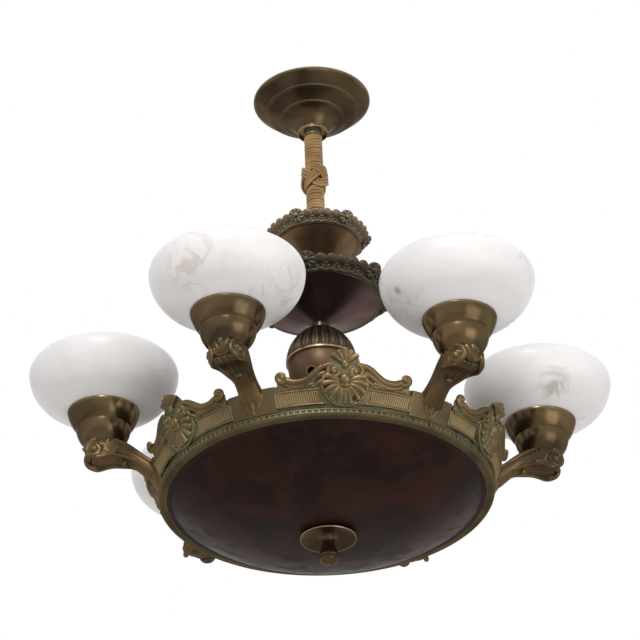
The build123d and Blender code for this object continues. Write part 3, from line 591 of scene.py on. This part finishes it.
FLANGE_R = 211.0          # millimetres, heights above the pan's rim
PAN_MOUTH_R = 204.0
PAN_DEPTH = 52.0
PAN_FULLNESS = 3.0        # 2 is close to a slice of a ball, and more is fuller towards the rim
PAN_HOLE_R = 5.4
PAN_STEPS = 60            # points of the bowl's half section
CREASE = radians(35)
under = []
for i in range(PAN_STEPS + 1):
    r = PAN_HOLE_R + (PAN_MOUTH_R - PAN_HOLE_R) * sin(pi / 2 * i / PAN_STEPS)
    under.append((r, -PAN_DEPTH * (1 - (r / PAN_MOUTH_R) ** PAN_FULLNESS)))
flange = [(208.0, 0.1), (FLANGE_R - 0.6, 0.5), (FLANGE_R - 0.2, 1.0), (FLANGE_R - 0.8, PAN_SHEET)]
inside = [(r - (1.0 if r > 190 else 0.0), z + PAN_SHEET) for r, z in reversed(under)]
pan = lathe(under + flange + inside, 240)
move_points(pan, settled)
coated(pan, pan_patina, CREASE)
adopt(pan, "pan_bowl", "fixture", "pan")

# ---- gallery ring ----
# Cast brass ring clamped under the pan's flange: a smooth lip, a ladder of small dentils over it, and a
# hoop that leans outwards, with plain convex pads for the arms. Browned, and green in its hollows.

HOOP_FOOT_R = 218.0
HOOP_FOOT_Z = 13.0
HOOP_LEAN = radians(23)
HOOP_HEIGHT = 33.0        # along the slope
SIDES = 6                 # arms, and crests between them
PAD_HALF = 29.5
PAD_OFF = 3.6
HOOP_STEPS = 300          # facets round the ring


def on_slope(off, rise):
    """A point of (radius, height) off the hoop's leaning outside, at a rise along its slope."""
    return (HOOP_FOOT_R + off * cos(HOOP_LEAN) + rise * sin(HOOP_LEAN),
            HOOP_FOOT_Z + rise * cos(HOOP_LEAN) - off * sin(HOOP_LEAN))


def bent_to_hoop(point):
    """From the flat view, X across, -Y off the hoop and Z up its slope, to the leaning round hoop at -Y."""
    radius, height = on_slope(-point.y, point.z)
    angle = point.x / HOOP_FOOT_R
    return Vector((radius * sin(angle), -radius * cos(angle), height))


LADDER_LOW = 4.4
LADDER_HIGH = 9.0
LADDER_FLOOR = 220.4
LADDER_FACE = 222.2
DENTILS = 174
section = [(FLANGE_R, 1.6), (205.6, 1.6), (205.6, 6.6), (213.4, 6.6), on_slope(-4.5, 1), on_slope(-4.5, 32.4),
           on_slope(-3.9, HOOP_HEIGHT), on_slope(-0.6, HOOP_HEIGHT), on_slope(0, 32.4), on_slope(0, 8),
           on_slope(0, 0.6), (217.6, 12.4), (217.9, 11.4), (219.4, 11.0), (220.8, 11.4), (221.8, 11.2),
           (LADDER_FACE, 10.6), (LADDER_FACE, LADDER_HIGH + 0.3), (221.9, LADDER_HIGH),
           (LADDER_FLOOR, LADDER_HIGH - 0.2), (LADDER_FLOOR, LADDER_LOW + 0.2), (221.9, LADDER_LOW),
           (LADDER_FACE + 0.2, LADDER_LOW - 0.3),
           (LADDER_FACE + 0.1, 3.8), (221.6, 3.5), (221.0, 3.4), (221.3, 3.0), (220.8, 2.5), (219.4, 2.0),
           (217.0, 1.5), (214.4, 1.1), (212.6, 0.9), (211.6, 1.0), (FLANGE_R, 1.3)]
hoop = lathe(section, HOOP_STEPS)
ladder_middle = (0, -LADDER_FLOOR - 0.5, (LADDER_LOW + LADDER_HIGH) / 2)
dentil = block((3.4, 2.0, LADDER_HIGH - LADDER_LOW), ladder_middle, bevel=0.4)
ring_parts = [hoop, dentil] + [copied(dentil, 2 * pi * i / DENTILS) for i in range(1, DENTILS)]
pad_middle = (0, -PAD_OFF / 2 + 0.5, HOOP_HEIGHT / 2 + 0.5)
pad = block((PAD_HALF * 2, PAD_OFF + 1, HOOP_HEIGHT - 0.6), pad_middle, 15, 1.1)
move_points(pad, bent_to_hoop)
ring_parts += [copied(pad, pi / 2 + 2 * pi * k / SIDES) for k in range(1, SIDES)]
move_points(pad, lambda point: Matrix.Rotation(pi / 2, 3, "Z") @ point)
gallery = joined(ring_parts + [pad])
move_points(gallery, settled)

gallery_brass = bronze("gallery_brass", colour(74, 63, 45), colour(100, 87, 62), colour(150, 130, 92),
                       colour(104, 120, 94), 0.95, 0.45, rub_share=0.35)
coated(gallery, gallery_brass, CREASE)
adopt(gallery, "gallery", "fixture", "gallery_ring")
dress(gallery_brass, "gallery_ring")

# ---- crests ----
# Six cast plates on the hoop between the arms. Each has a scallop shell with a boss, two volutes and a
# palmette above it, a scrolled wing at each side, and a reeded frieze below. All six are from one mould.


def both_sides(runs):
    """The runs and their mirror images across X."""
    return runs + [([(-x, y, z) for x, y, z in points], radii) for points, radii in runs]


def slab(outline, low, high):
    """A flat plate with an outline in the front view, between two distances off the hoop."""
    bpy.ops.mesh.primitive_circle_add(vertices=len(outline), radius=1, fill_type="NGON")
    piece = current()
    for vertex, (x, z) in zip(piece.data.vertices, outline):
        vertex.co = (x, -low, z)
    bpy.ops.object.mode_set(mode="EDIT")
    bpy.ops.mesh.select_all(action="SELECT")
    bpy.ops.mesh.extrude_region_move(TRANSFORM_OT_translate={"value": (0, low - high, 0)})
    bpy.ops.mesh.select_all(action="SELECT")
    bpy.ops.mesh.normals_make_consistent(inside=False)
    bpy.ops.object.mode_set(mode="OBJECT")
    return piece


SHELL_MID = 28.5          # centre and radius of the scallop's round frame
BOSS_UP = 34.0
PALM_ROOT = 55.0
wing_top = [(15, 53.5), (23, 53.5), (30, 49.5), (37, 42.5), (45, 36.5), (53, 34.5), (61, 34.8), (67, 38)]
curl = spiral((73, 43.5), 220, 380, 7.6, 1.6)
runs = [(facing(wing_top + curl, 4.6), (3.4, 4.6, 4.9, 4.2, 3.4, 2.8, 2.6, 1.8)),
        (facing([(22, 45), (31, 42), (39, 34.5), (49, 29.5), (59, 29), (68, 32), (76, 37)], 3.8),
         (3.0, 3.6, 3.4, 2.4)),
        (facing([(28, 31), (34, 28.6), (44, 26.8), (56, 26.6), (68, 27.6), (79, 26.4)], 4.4),
         (1.2, 1.4, 1.3, 1.0)),
        (facing([(29, 24.4), (45, 24), (60, 24), (84, 24)], 3.4), (1.2, 1.2)),
        (facing([(26, 5.8), (45, 5.6), (60, 5.6), (84, 5.6)], 3.4), (1.3, 1.3)),
        (facing([(84, 5.6), (84.2, 15), (84, 24)], 3.4), (1.4, 1.4))]
wing_leaves = ((24.5, 39, 64, 7.0, 3.0), (29, 33.5, 42, 6.0, 2.4), (40, 30.5, 22, 6.0, 2.2),
               (50, 28.4, 8, 5.0, 1.9))    # (across, up, tilt in degrees, half length, thickness)
for across, up, tilt, length, fat in wing_leaves:
    dx, dz = length * cos(radians(tilt)), length * sin(radians(tilt))
    leaf = [(across - dx, up + dz, 4.6), (across + dx * 0.2, up - dz * 0.2, 6.6), (across + dx, up - dz, 5.0)]
    runs.append((facing(leaf, 0), (0.8, fat, fat * 0.7)))
volute = [(25, 52.5), (18, 55.2)] + spiral((12.2, 45.6), 78, -440, 9.0, 2.6, 20)
runs.append((facing(volute, 6.6), (2.4, 2.5, 2.2, 1.7)))
REEDS = 18
for i in range(REEDS):
    across = 33 + 2.8 * i
    runs.append((facing([(across - 1.5, 7.4), (across, 14), (across + 0.6, 22.4)], 2.9), (1.1, 1.15, 1.0)))
frame_arc = spiral((0, SHELL_MID), -90, 138, 26.8, 27.2, 12)
runs.append((facing(frame_arc, 4.6), (1.7, 2.0, 2.8)))
for i in range(5):
    angle = radians(17 + 26 * i)
    tip = (24.6 * sin(angle), SHELL_MID - 23.4 * cos(angle))
    root = (5.0 * sin(angle), BOSS_UP - 3 - 4.0 * cos(angle))
    bow = (root[0] + (tip[0] - root[0]) * 0.52, root[1] + (tip[1] - root[1]) * 0.42 + 2.6 * sin(angle))
    runs.append((facing([(*root, 5.6), (*bow, 8.6), (*tip, 5.4)], 0), (1.6, 3.4, 4.6)))
for i in range(1, 3):
    angle = radians(24 * i)
    tip = (17.5 * sin(angle), PALM_ROOT + 18.5 * cos(angle))
    leaf = [(tip[0] * 0.22, PALM_ROOT + (tip[1] - PALM_ROOT) * 0.2, 4.4),
            (tip[0] * 0.66, PALM_ROOT + (tip[1] - PALM_ROOT) * 0.6, 6.4), (*tip, 4.2)]
    runs.append((facing(leaf, 0), (1.5, 3.0, 4.0)))
runs = both_sides(runs)
middle_leaf = [(0, PALM_ROOT + 3, 4.4), (0, PALM_ROOT + 11, 6.8), (0, PALM_ROOT + 20, 4.4)]
runs.append((facing(middle_leaf, 0), (1.5, 3.2, 4.0)))
runs.append((facing([(0, 26, 6.2), (0, 15, 8.6), (0, 6.2, 5.4)], 0), (1.6, 3.0, 4.0)))
plate_side = [(0, 3), (10, 3.4), (16, 4.6), (85.4, 4.6), (85.4, 25.2), (80, 26), (80.5, 40), (77, 45),
              (72, 46), (66, 40), (58, 36), (48, 37), (40, 43), (32, 50.5), (25, 54), (18, 57), (16, 63),
              (12, 69), (7, 72), (0, 73.5)]
plate = slab(plate_side + [(-x, z) for x, z in plate_side[-2:0:-1]], 0.2, 2.5)
crest_parts = [plate, strands(runs), ball((0, -7.6, BOSS_UP + 1.5), 7.2, (0.95, 0.75, 1.1)),
               ball((0, -7.4, BOSS_UP - 5.5), 4.6, (1.35, 0.8, 0.9)),
               ball((0, -6.6, PALM_ROOT), 4.4, (1, 0.8, 1.3)),
               slab(spiral((0, SHELL_MID), 0, 348, 26.5, 26.5, 30), 1.0, 4.4)]
for side in (-1, 1):
    crest_parts.append(ball((side * 12.4, -7.6, 45.4), 3.1))
    crest_parts.append(ball((side * 73, -5.4, 43.5), 3.0))
    crest_parts.append(slab(spiral((side * 12.4, 45.4), 0, 340, 8.4, 8.4, 18), 1.0, 4.2))
crest = cast(crest_parts, 0.4)
move_points(crest, bent_to_hoop)
move_points(crest, settled)
crest_brass = bronze("crest_brass", colour(84, 70, 49), colour(122, 100, 69), colour(184, 158, 112),
                     colour(122, 138, 110), 0.95, 0.38)
coated(crest, crest_brass)
dress(crest_brass, *[f"crest_{k}" for k in range(1, SIDES + 1)])
crest_middle = (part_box("crest_1")[0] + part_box("crest_1")[1]) / 2
first_turn = atan2(crest_middle.y, crest_middle.x) + pi / 2
for k in range(SIDES):
    other = copied(crest, first_turn + 2 * pi * k / SIDES)
    adopt(other, f"crest_casting_{k + 1}", "fixture", f"crest_{k + 1}")
bpy.data.objects.remove(crest)

# ---- arms and their screws ----
# Six cast scroll brackets, each screwed to its pad from inside the hoop with two round-headed screws. A
# ridge rolls over the top into a scroll with a ball, over a fan of ribs and two thin belly mouldings.

LAMP_R = 295.0
CUP_SEAT_Z = 71.4
CUP_SIDE = ((0.0, 20.2), (14.5, 32.7), (31.0, 37.0), (54.0, 48.5))     # (height over its seat, radius)
ARM_HALVES = ((220, 12.5), (240, 11.0), (256, 12.0), (272, 16.5), (290, 20.5), (304, 20.5), (314, 17.0),
              (322, 10.0))                                             # (distance, half width)


def arm_half(x):
    """Half width of the arm at a distance from the fixture's axis."""
    for (a, wide), (b, wider) in zip(ARM_HALVES, ARM_HALVES[1:]):
        if x <= b:
            return wide + (wider - wide) * max(0.0, x - a) / (b - a)
    return ARM_HALVES[-1][1]


def beside(points, inset):
    """Side-view points (outwards, up) set at the arm's half width less an inset."""
    return [(x, arm_half(x) - inset, z) for x, z in points]


def mirrored_y(runs):
    return runs + [([(x, -y, z) for x, y, z in points], radii) for points, radii in runs]


spine = [(221, 33), (228, 36), (237, 42.5), (247, 50.5), (258, 57.5), (270, 63), (283, 67), (296, 68),
         (307, 66), (314, 63)]
belly = [(254, 54), (266, 57), (280, 59.5), (292, 59), (302, 57), (309, 58)]
runs = []
for share, size in ((0.0, 1.05), (0.4, 1.0), (0.66, 0.88)):
    lane = [(x, arm_half(x) * share, z) for x, z in spine]
    runs.append((lane, [r * size for r in (11, 10, 8.8, 7.9, 7.6, 8.4, 9.4, 9.6, 8.6, 6.5)]))
    runs.append(([(x, arm_half(x) * share, z) for x, z in belly], (4.0, 5.0, 5.6, 6.6, 6.6, 5.0)))
ridge = [(223, 44), (232, 48.5), (242, 55), (253, 63.5), (266, 71), (281, 75.5), (295, 77), (307, 75.5),
         (315, 70)]
scroll = spiral((307, 60), 30, -430, 10.4, 3.6, 18)
runs.append((beside(ridge + scroll, 1.2), (2.6, 3.2, 3.6, 3.8, 3.4, 2.8, 2.2)))
low_moulding = [(234, 37), (245, 45), (256, 50), (268, 52), (280, 54), (290, 52.6), (297, 49.5), (304, 48),
                (311, 50)]
runs.append((beside(low_moulding, 0.8), (1.6, 2.1, 2.1, 1.8)))
high_moulding = [(240, 44), (250, 51.5), (262, 56), (276, 59), (287, 58), (294, 54.3), (301, 52)]
runs.append((beside(high_moulding, 0.2), (1.1, 1.6, 1.6, 1.3)))
for i in range(6):
    angle = radians(118 + 17 * i)
    reach = 23 - 1.3 * abs(i - 2)
    rib = [(298 + 4 * cos(angle), 61 + 4 * sin(angle)),
           (298 + reach * 0.6 * cos(angle), 61 + reach * 0.5 * sin(angle)),
           (298 + reach * cos(angle), 61 + reach * 0.66 * sin(angle))]
    runs.append((beside(rib, 0.2), (1.0, 2.0, 2.9)))
for i in range(4):
    angle = radians(25 * i)
    petal = [(312, 3 * sin(angle), 55), (319, 12 * sin(angle), 58 + 7 * cos(angle)),
             (317 - 2.6 * i, 20.5 * sin(angle), 59 + 15.5 * cos(angle))]
    runs.append((petal, (1.5, 3.0, 3.9)))
leaf_side = [(233, 7.5, 46), (231, 10.5, 36), (226.5, 9.5, 26), (223.2, 4.5, 18.5), (221.4, 0.4, 13.4)]
runs.append((leaf_side, (2.2, 2.6, 2.8, 2.2, 1.2)))
leaf_edge = [(236, 4.4, 52), (232, 8.4, 44), (229.4, 8.8, 36), (227, 4.6, 30), (225.4, 0.8, 26)]
runs.append((leaf_edge, (1.6, 2.0, 2.0, 1.4)))
runs.append(([(228, 4.5, 34), (224.4, 4.2, 24), (221.6, 1.2, 17)], (5.0, 3.6, 1.4)))
runs = mirrored_y(runs)
runs.append(([(238, 0, 40), (230.5, 0, 30), (225.2, 0, 20), (222.8, 0, 13.6)], (4.0, 3.6, 2.6, 1.0)))
runs.append(([(311, 0, 66), (318, 0, 68), (323, 0, 71)], (6.5, 4.0, 0.9)))
arm_parts = [strands(runs), ball((266, 0, 50), 5.0, (1.0, 1.1, 0.9)),
             ball((228, 0, 40), 9.0, (0.8, 1.15, 1.3))]
for side in (-1, 1):
    arm_parts.append(ball((307, side * (arm_half(307) + 0.4), 60), 4.9))
arm = cast(arm_parts, 0.45)


def clear_of_neighbours(point):
    """Keeps the arm off the pad's face and below the cup's underside."""
    x, y, z = point
    away = hypot(x - LAMP_R, y)
    ceiling = CUP_SEAT_Z
    for (low, r_low), (high, r_high) in zip(CUP_SIDE, CUP_SIDE[1:]):
        if away > r_low:
            ceiling = CUP_SEAT_Z + low + (high - low) * (away - r_low) / (r_high - r_low)
    if away < CUP_SIDE[-1][1]:
        z = min(z, ceiling - 0.3)
    face = on_slope(PAD_OFF + 0.2, (z - HOOP_FOOT_Z) / cos(HOOP_LEAN))[0]
    radius = hypot(x, y)
    if radius < face and z < HOOP_FOOT_Z + 33:
        x, y = x * face / radius, y * face / radius
    return Vector((x, y, z))


move_points(arm, clear_of_neighbours)
move_points(arm, settled)
arm_brass = bronze("arm_brass", colour(74, 59, 42), colour(110, 87, 59), colour(176, 144, 104),
                   colour(106, 120, 92), 0.9, 0.36)
coated(arm, arm_brass)
dress(arm_brass, *[f"arm_{k}" for k in range(1, SIDES + 1)])
arm_middle = (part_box("arm_1")[0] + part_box("arm_1")[1]) / 2
arm_turn = atan2(arm_middle.y, arm_middle.x)
for k in range(SIDES):
    other = copied(arm, arm_turn + 2 * pi * k / SIDES)
    adopt(other, f"arm_casting_{k + 1}", "fixture", f"arm_{k + 1}")
bpy.data.objects.remove(arm)

SCREW_RISES = (13.0, 26.0)
SCREW_SINK = 0.4          # of the flat side of the head in the hoop
screw_parts = []
for rise in SCREW_RISES:
    radius, height = on_slope(-4.5, rise)
    screw = ball((0, 0, 0), 4.5, (0.6, 1, 1))
    bpy.ops.object.transform_apply(location=True, rotation=True, scale=True)
    slot_cut = block((3, 1.0, 10), (-2.9, 0, 0))
    modified(screw, "BOOLEAN", operation="DIFFERENCE", object=slot_cut)
    bpy.data.objects.remove(slot_cut)
    leaning = Matrix.Rotation(HOOP_LEAN, 3, "Y")
    move_points(screw, lambda point: leaning @ Vector((min(point.x, SCREW_SINK), point.y, point.z)))
    move_points(screw, lambda point: point + Vector((radius - SCREW_SINK, 0, height)))
    screw_parts.append(screw)
    screw_parts += [copied(screw, 2 * pi * k / SIDES) for k in range(1, SIDES)]
screws = joined(screw_parts)
move_points(screws, settled)
coated(screws, zinc_steel, CREASE)
adopt(screws, "arm_screw_heads", "fixture", "arm_screws")

# ---- cups ----
# Spun brass cups with a stepped side and a rolled rim, bronzed to a satin olive brown. Each is clamped
# between its arm and its lampholder.

cup_bronze = bronze("cup_bronze", colour(72, 60, 43), colour(102, 85, 59), colour(150, 130, 95),
                    colour(74, 82, 60), 0.2, 0.24)
dress(cup_bronze, *[f"cup_{k}" for k in range(1, SIDES + 1)])

# ---- lampholders and bulbs ----
# White glazed porcelain holders on threaded nipples, and small round opal bulbs with metal caps that
# screw into them. The shades hide both from below.


def glazed(name, base, roughness):
    """White glaze or opal glass, very slightly uneven."""
    material, tree, shader = new_material(name)
    place = object_coordinates(tree)
    tint = tuple(part * 0.94 for part in base[:3]) + (1.0,)
    feed(tree, shader, Base_Color=blended(tree, noise(tree, place, 40.0, 3.0), tint, base))
    waves = noise(tree, place, 90.0, 2.0)
    relief = node(tree, "Bump", {"Height": waves, "Strength": 0.15, "Distance": 0.0004})
    feed(tree, shader, Normal=relief.outputs[0])
    shader.inputs["Roughness"].default_value = roughness
    shader.inputs["Coat Weight"].default_value = 0.6
    shader.inputs["Coat Roughness"].default_value = 0.05
    return material


dress(glazed("porcelain", colour(240, 238, 230), 0.25), *[f"lampholder_{k}" for k in range(1, SIDES + 1)])
dress(glazed("opal_glass", colour(246, 246, 242), 0.12), *[f"bulb_{k}" for k in range(1, SIDES + 1)])

# ---- shades and ring nuts ----
# Bowls turned from white alabaster and polished, each with its own faint grey and tan veins. A plain
# brass ring nut holds each one down on its cup.


def ridged(tree, value):
    """How far a 0 to 1 pattern is from its middle value, which it crosses along thin lines."""
    apart = node(tree, "Math", {0: value, 1: 0.5}, operation="SUBTRACT").outputs[0]
    return node(tree, "Math", {0: apart}, operation="ABSOLUTE").outputs[0]


def alabaster(name, seed, vein_share, spot=None, spot_reach=0.03, spot_colour=None, spot_height=1.0,
              heart_share=0.0):
    """Polished translucent stone with soft clouds, thin veins, and a darker star of veins at one spot."""
    material, tree, shader = new_material(name)
    place = object_coordinates(tree)
    away_by_seed = (seed * 0.37, seed * 0.71, seed * 0.53)
    shifted = node(tree, "Mapping", {"Vector": place, "Location": away_by_seed}).outputs[0]
    clouds = between(tree, noise(tree, shifted, 11.0, 6.0, 0.5), 0.3, 0.75)
    skin = blended(tree, clouds, colour(241, 239, 238), colour(231, 228, 228))
    thin = between(tree, ridged(tree, noise(tree, shifted, 8.0, 5.0, 1.6)), 0.022, 0.0)
    where = between(tree, noise(tree, shifted, 9.0, 2.0), 0.5, 0.62)
    skin = blended(tree, times(tree, times(tree, thin, where), vein_share), skin, colour(158, 142, 132))
    if spot:
        flat = node(tree, "Mapping", {"Vector": place, "Scale": (1, 1, spot_height)}).outputs[0]
        spot_middle = (spot[0], spot[1], spot[2] * spot_height)
        away = node(tree, "VectorMath", {0: flat, 1: spot_middle}, operation="DISTANCE").outputs["Value"]
        near = times(tree, between(tree, away, spot_reach, spot_reach * 0.2), 0.75)
        thread = ridged(tree, noise(tree, shifted, 22.0, 3.0, 0.5))
        line = between(tree, thread, 0.07, 0.0)
        heart = between(tree, away, spot_reach * 0.4, 0.0)
        skin = blended(tree, times(tree, near, line), skin, spot_colour)
        skin = blended(tree, times(tree, heart, heart_share), skin, spot_colour)
    feed(tree, shader, Base_Color=skin)
    shader.inputs["Roughness"].default_value = 0.34
    shader.inputs["Subsurface Weight"].default_value = 0.35
    shader.inputs["Subsurface Radius"].default_value = (0.012, 0.010, 0.009)
    shader.inputs["Subsurface Scale"].default_value = 1.0
    return material


for k in (2, 3, 4):
    dress(alabaster(f"alabaster_{k}", k * 1.7, 0.12), f"shade_{k}")
spots = {1: (0.3, (0.3023, -0.0763, -0.4874), 0.03, colour(188, 178, 168), 0.4, 0.0),
         5: (0.2, (-0.1989, -0.3285, -0.4755), 0.055, colour(216, 205, 198), 0.8, 0.25),
         6: (0.3, (0.0659, -0.2831, -0.479), 0.022, colour(138, 126, 122), 1.0, 0.7)}
for k, its_veins in spots.items():
    dress(alabaster(f"alabaster_{k}", k * 1.7, *its_veins), f"shade_{k}")
dress(bronze("nut_brass", colour(168, 140, 84), colour(190, 160, 100), colour(215, 190, 130),
             colour(110, 120, 90), 0.2, 0.3), "shade_nuts")

# ---- washer and finial ----
# Spun saucer and turned nut under the pan, both of dark bronzed brass. The nut is screwed on the centre
# rod's lower end and holds the whole stack together.

finial_brass = bronze("finial_brass", colour(66, 53, 40), colour(104, 85, 62), colour(160, 138, 104),
                      colour(84, 92, 70), 0.3, 0.34)
dress(finial_brass, "rosette_washer", "finial")

# ---- floor, light and camera ----
# Pale studio floor well below the hanging fixture, a window-like light high in front of it and a soft
# fill from below.

FLOOR_Z = -2.75
bpy.ops.object.select_all(action="DESELECT")
bpy.ops.mesh.primitive_plane_add(size=12.0, location=(0, 0, FLOOR_Z))
floor = bpy.context.object
floor.name = "floor"
floor_paint, floor_tree, floor_shader = new_material("floor_paint")
floor_place = object_coordinates(floor_tree)
floor_clouds = noise(floor_tree, floor_place, 1.5, 3.0)
floor_shade = blended(floor_tree, floor_clouds, colour(232, 230, 228), colour(240, 239, 237))
feed(floor_tree, floor_shader, Base_Color=floor_shade)
floor_shader.inputs["Roughness"].default_value = 0.8
floor.data.materials.append(floor_paint)

WORLD_LEVEL = 0.62        # strength of the surroundings on matt surfaces
world = bpy.data.worlds.new("studio")
bpy.context.scene.world = world
world.use_nodes = True
sky = world.node_tree
sky.nodes.clear()
path = node(sky, "LightPath", {})
seen = path.outputs["Is Camera Ray"]
for ray in ("Is Glossy Ray", "Is Transmission Ray"):
    seen = node(sky, "Math", {0: seen, 1: path.outputs[ray]}, operation="MAXIMUM").outputs[0]
level = node(sky, "MapRange", {"Value": seen, "To Min": WORLD_LEVEL, "To Max": 1.0}).outputs[0]
background = node(sky, "Background", {"Color": (1, 1, 1, 1), "Strength": level})
sky_out = node(sky, "OutputWorld", {})
sky.links.new(background.outputs[0], sky_out.inputs["Surface"])


def softbox(name, azimuth, elevation, distance, width, height, power, target):
    """An area light that looks at the target. Azimuth 0 is in front, on the -Y side."""
    lamp = bpy.data.lights.new(name, "AREA")
    lamp.shape = "RECTANGLE"
    lamp.size = width
    lamp.size_y = height
    lamp.energy = power
    box = bpy.data.objects.new(name, lamp)
    bpy.context.scene.collection.objects.link(box)
    a, e = radians(azimuth), radians(elevation)
    out = Vector((sin(a) * cos(e), -cos(a) * cos(e), sin(e)))
    box.location = Vector(target) + out * distance
    box.rotation_euler = out.to_track_quat("Z", "Y").to_euler()


middle = (cad_box[0] + cad_box[1]) / 2
softbox("window", -14, 24, 3.2, 0.6, 0.26, 40.0, middle)
softbox("fill", 35, -20, 3.5, 2.4, 1.8, 26.0, middle)

CAMERA_AZIMUTH = -6.9     # towards -X
CAMERA_DISTANCE = 3.187   # along the floor, from the fixture's axis
CAMERA_BELOW_PAN = 1.740  # under the pan's rim
CAMERA_PITCH = 32.40
CAMERA_ROLL = -2.18
CAMERA_LENS = 154.5       # on a 36 mm sensor
bpy.ops.object.camera_add()
camera = bpy.context.object
side = radians(CAMERA_AZIMUTH)
camera.location = (CAMERA_DISTANCE * sin(side), -CAMERA_DISTANCE * cos(side), pan_rim_z - CAMERA_BELOW_PAN)
turn = (Matrix.Rotation(side, 3, "Z") @ Matrix.Rotation(radians(90 + CAMERA_PITCH), 3, "X")
        @ Matrix.Rotation(radians(CAMERA_ROLL), 3, "Z"))
camera.rotation_euler = turn.to_euler()
camera.data.lens = CAMERA_LENS
camera.data.sensor_width = 36.0
bpy.context.scene.camera = camera
bpy.context.scene.view_settings.view_transform = "Standard"
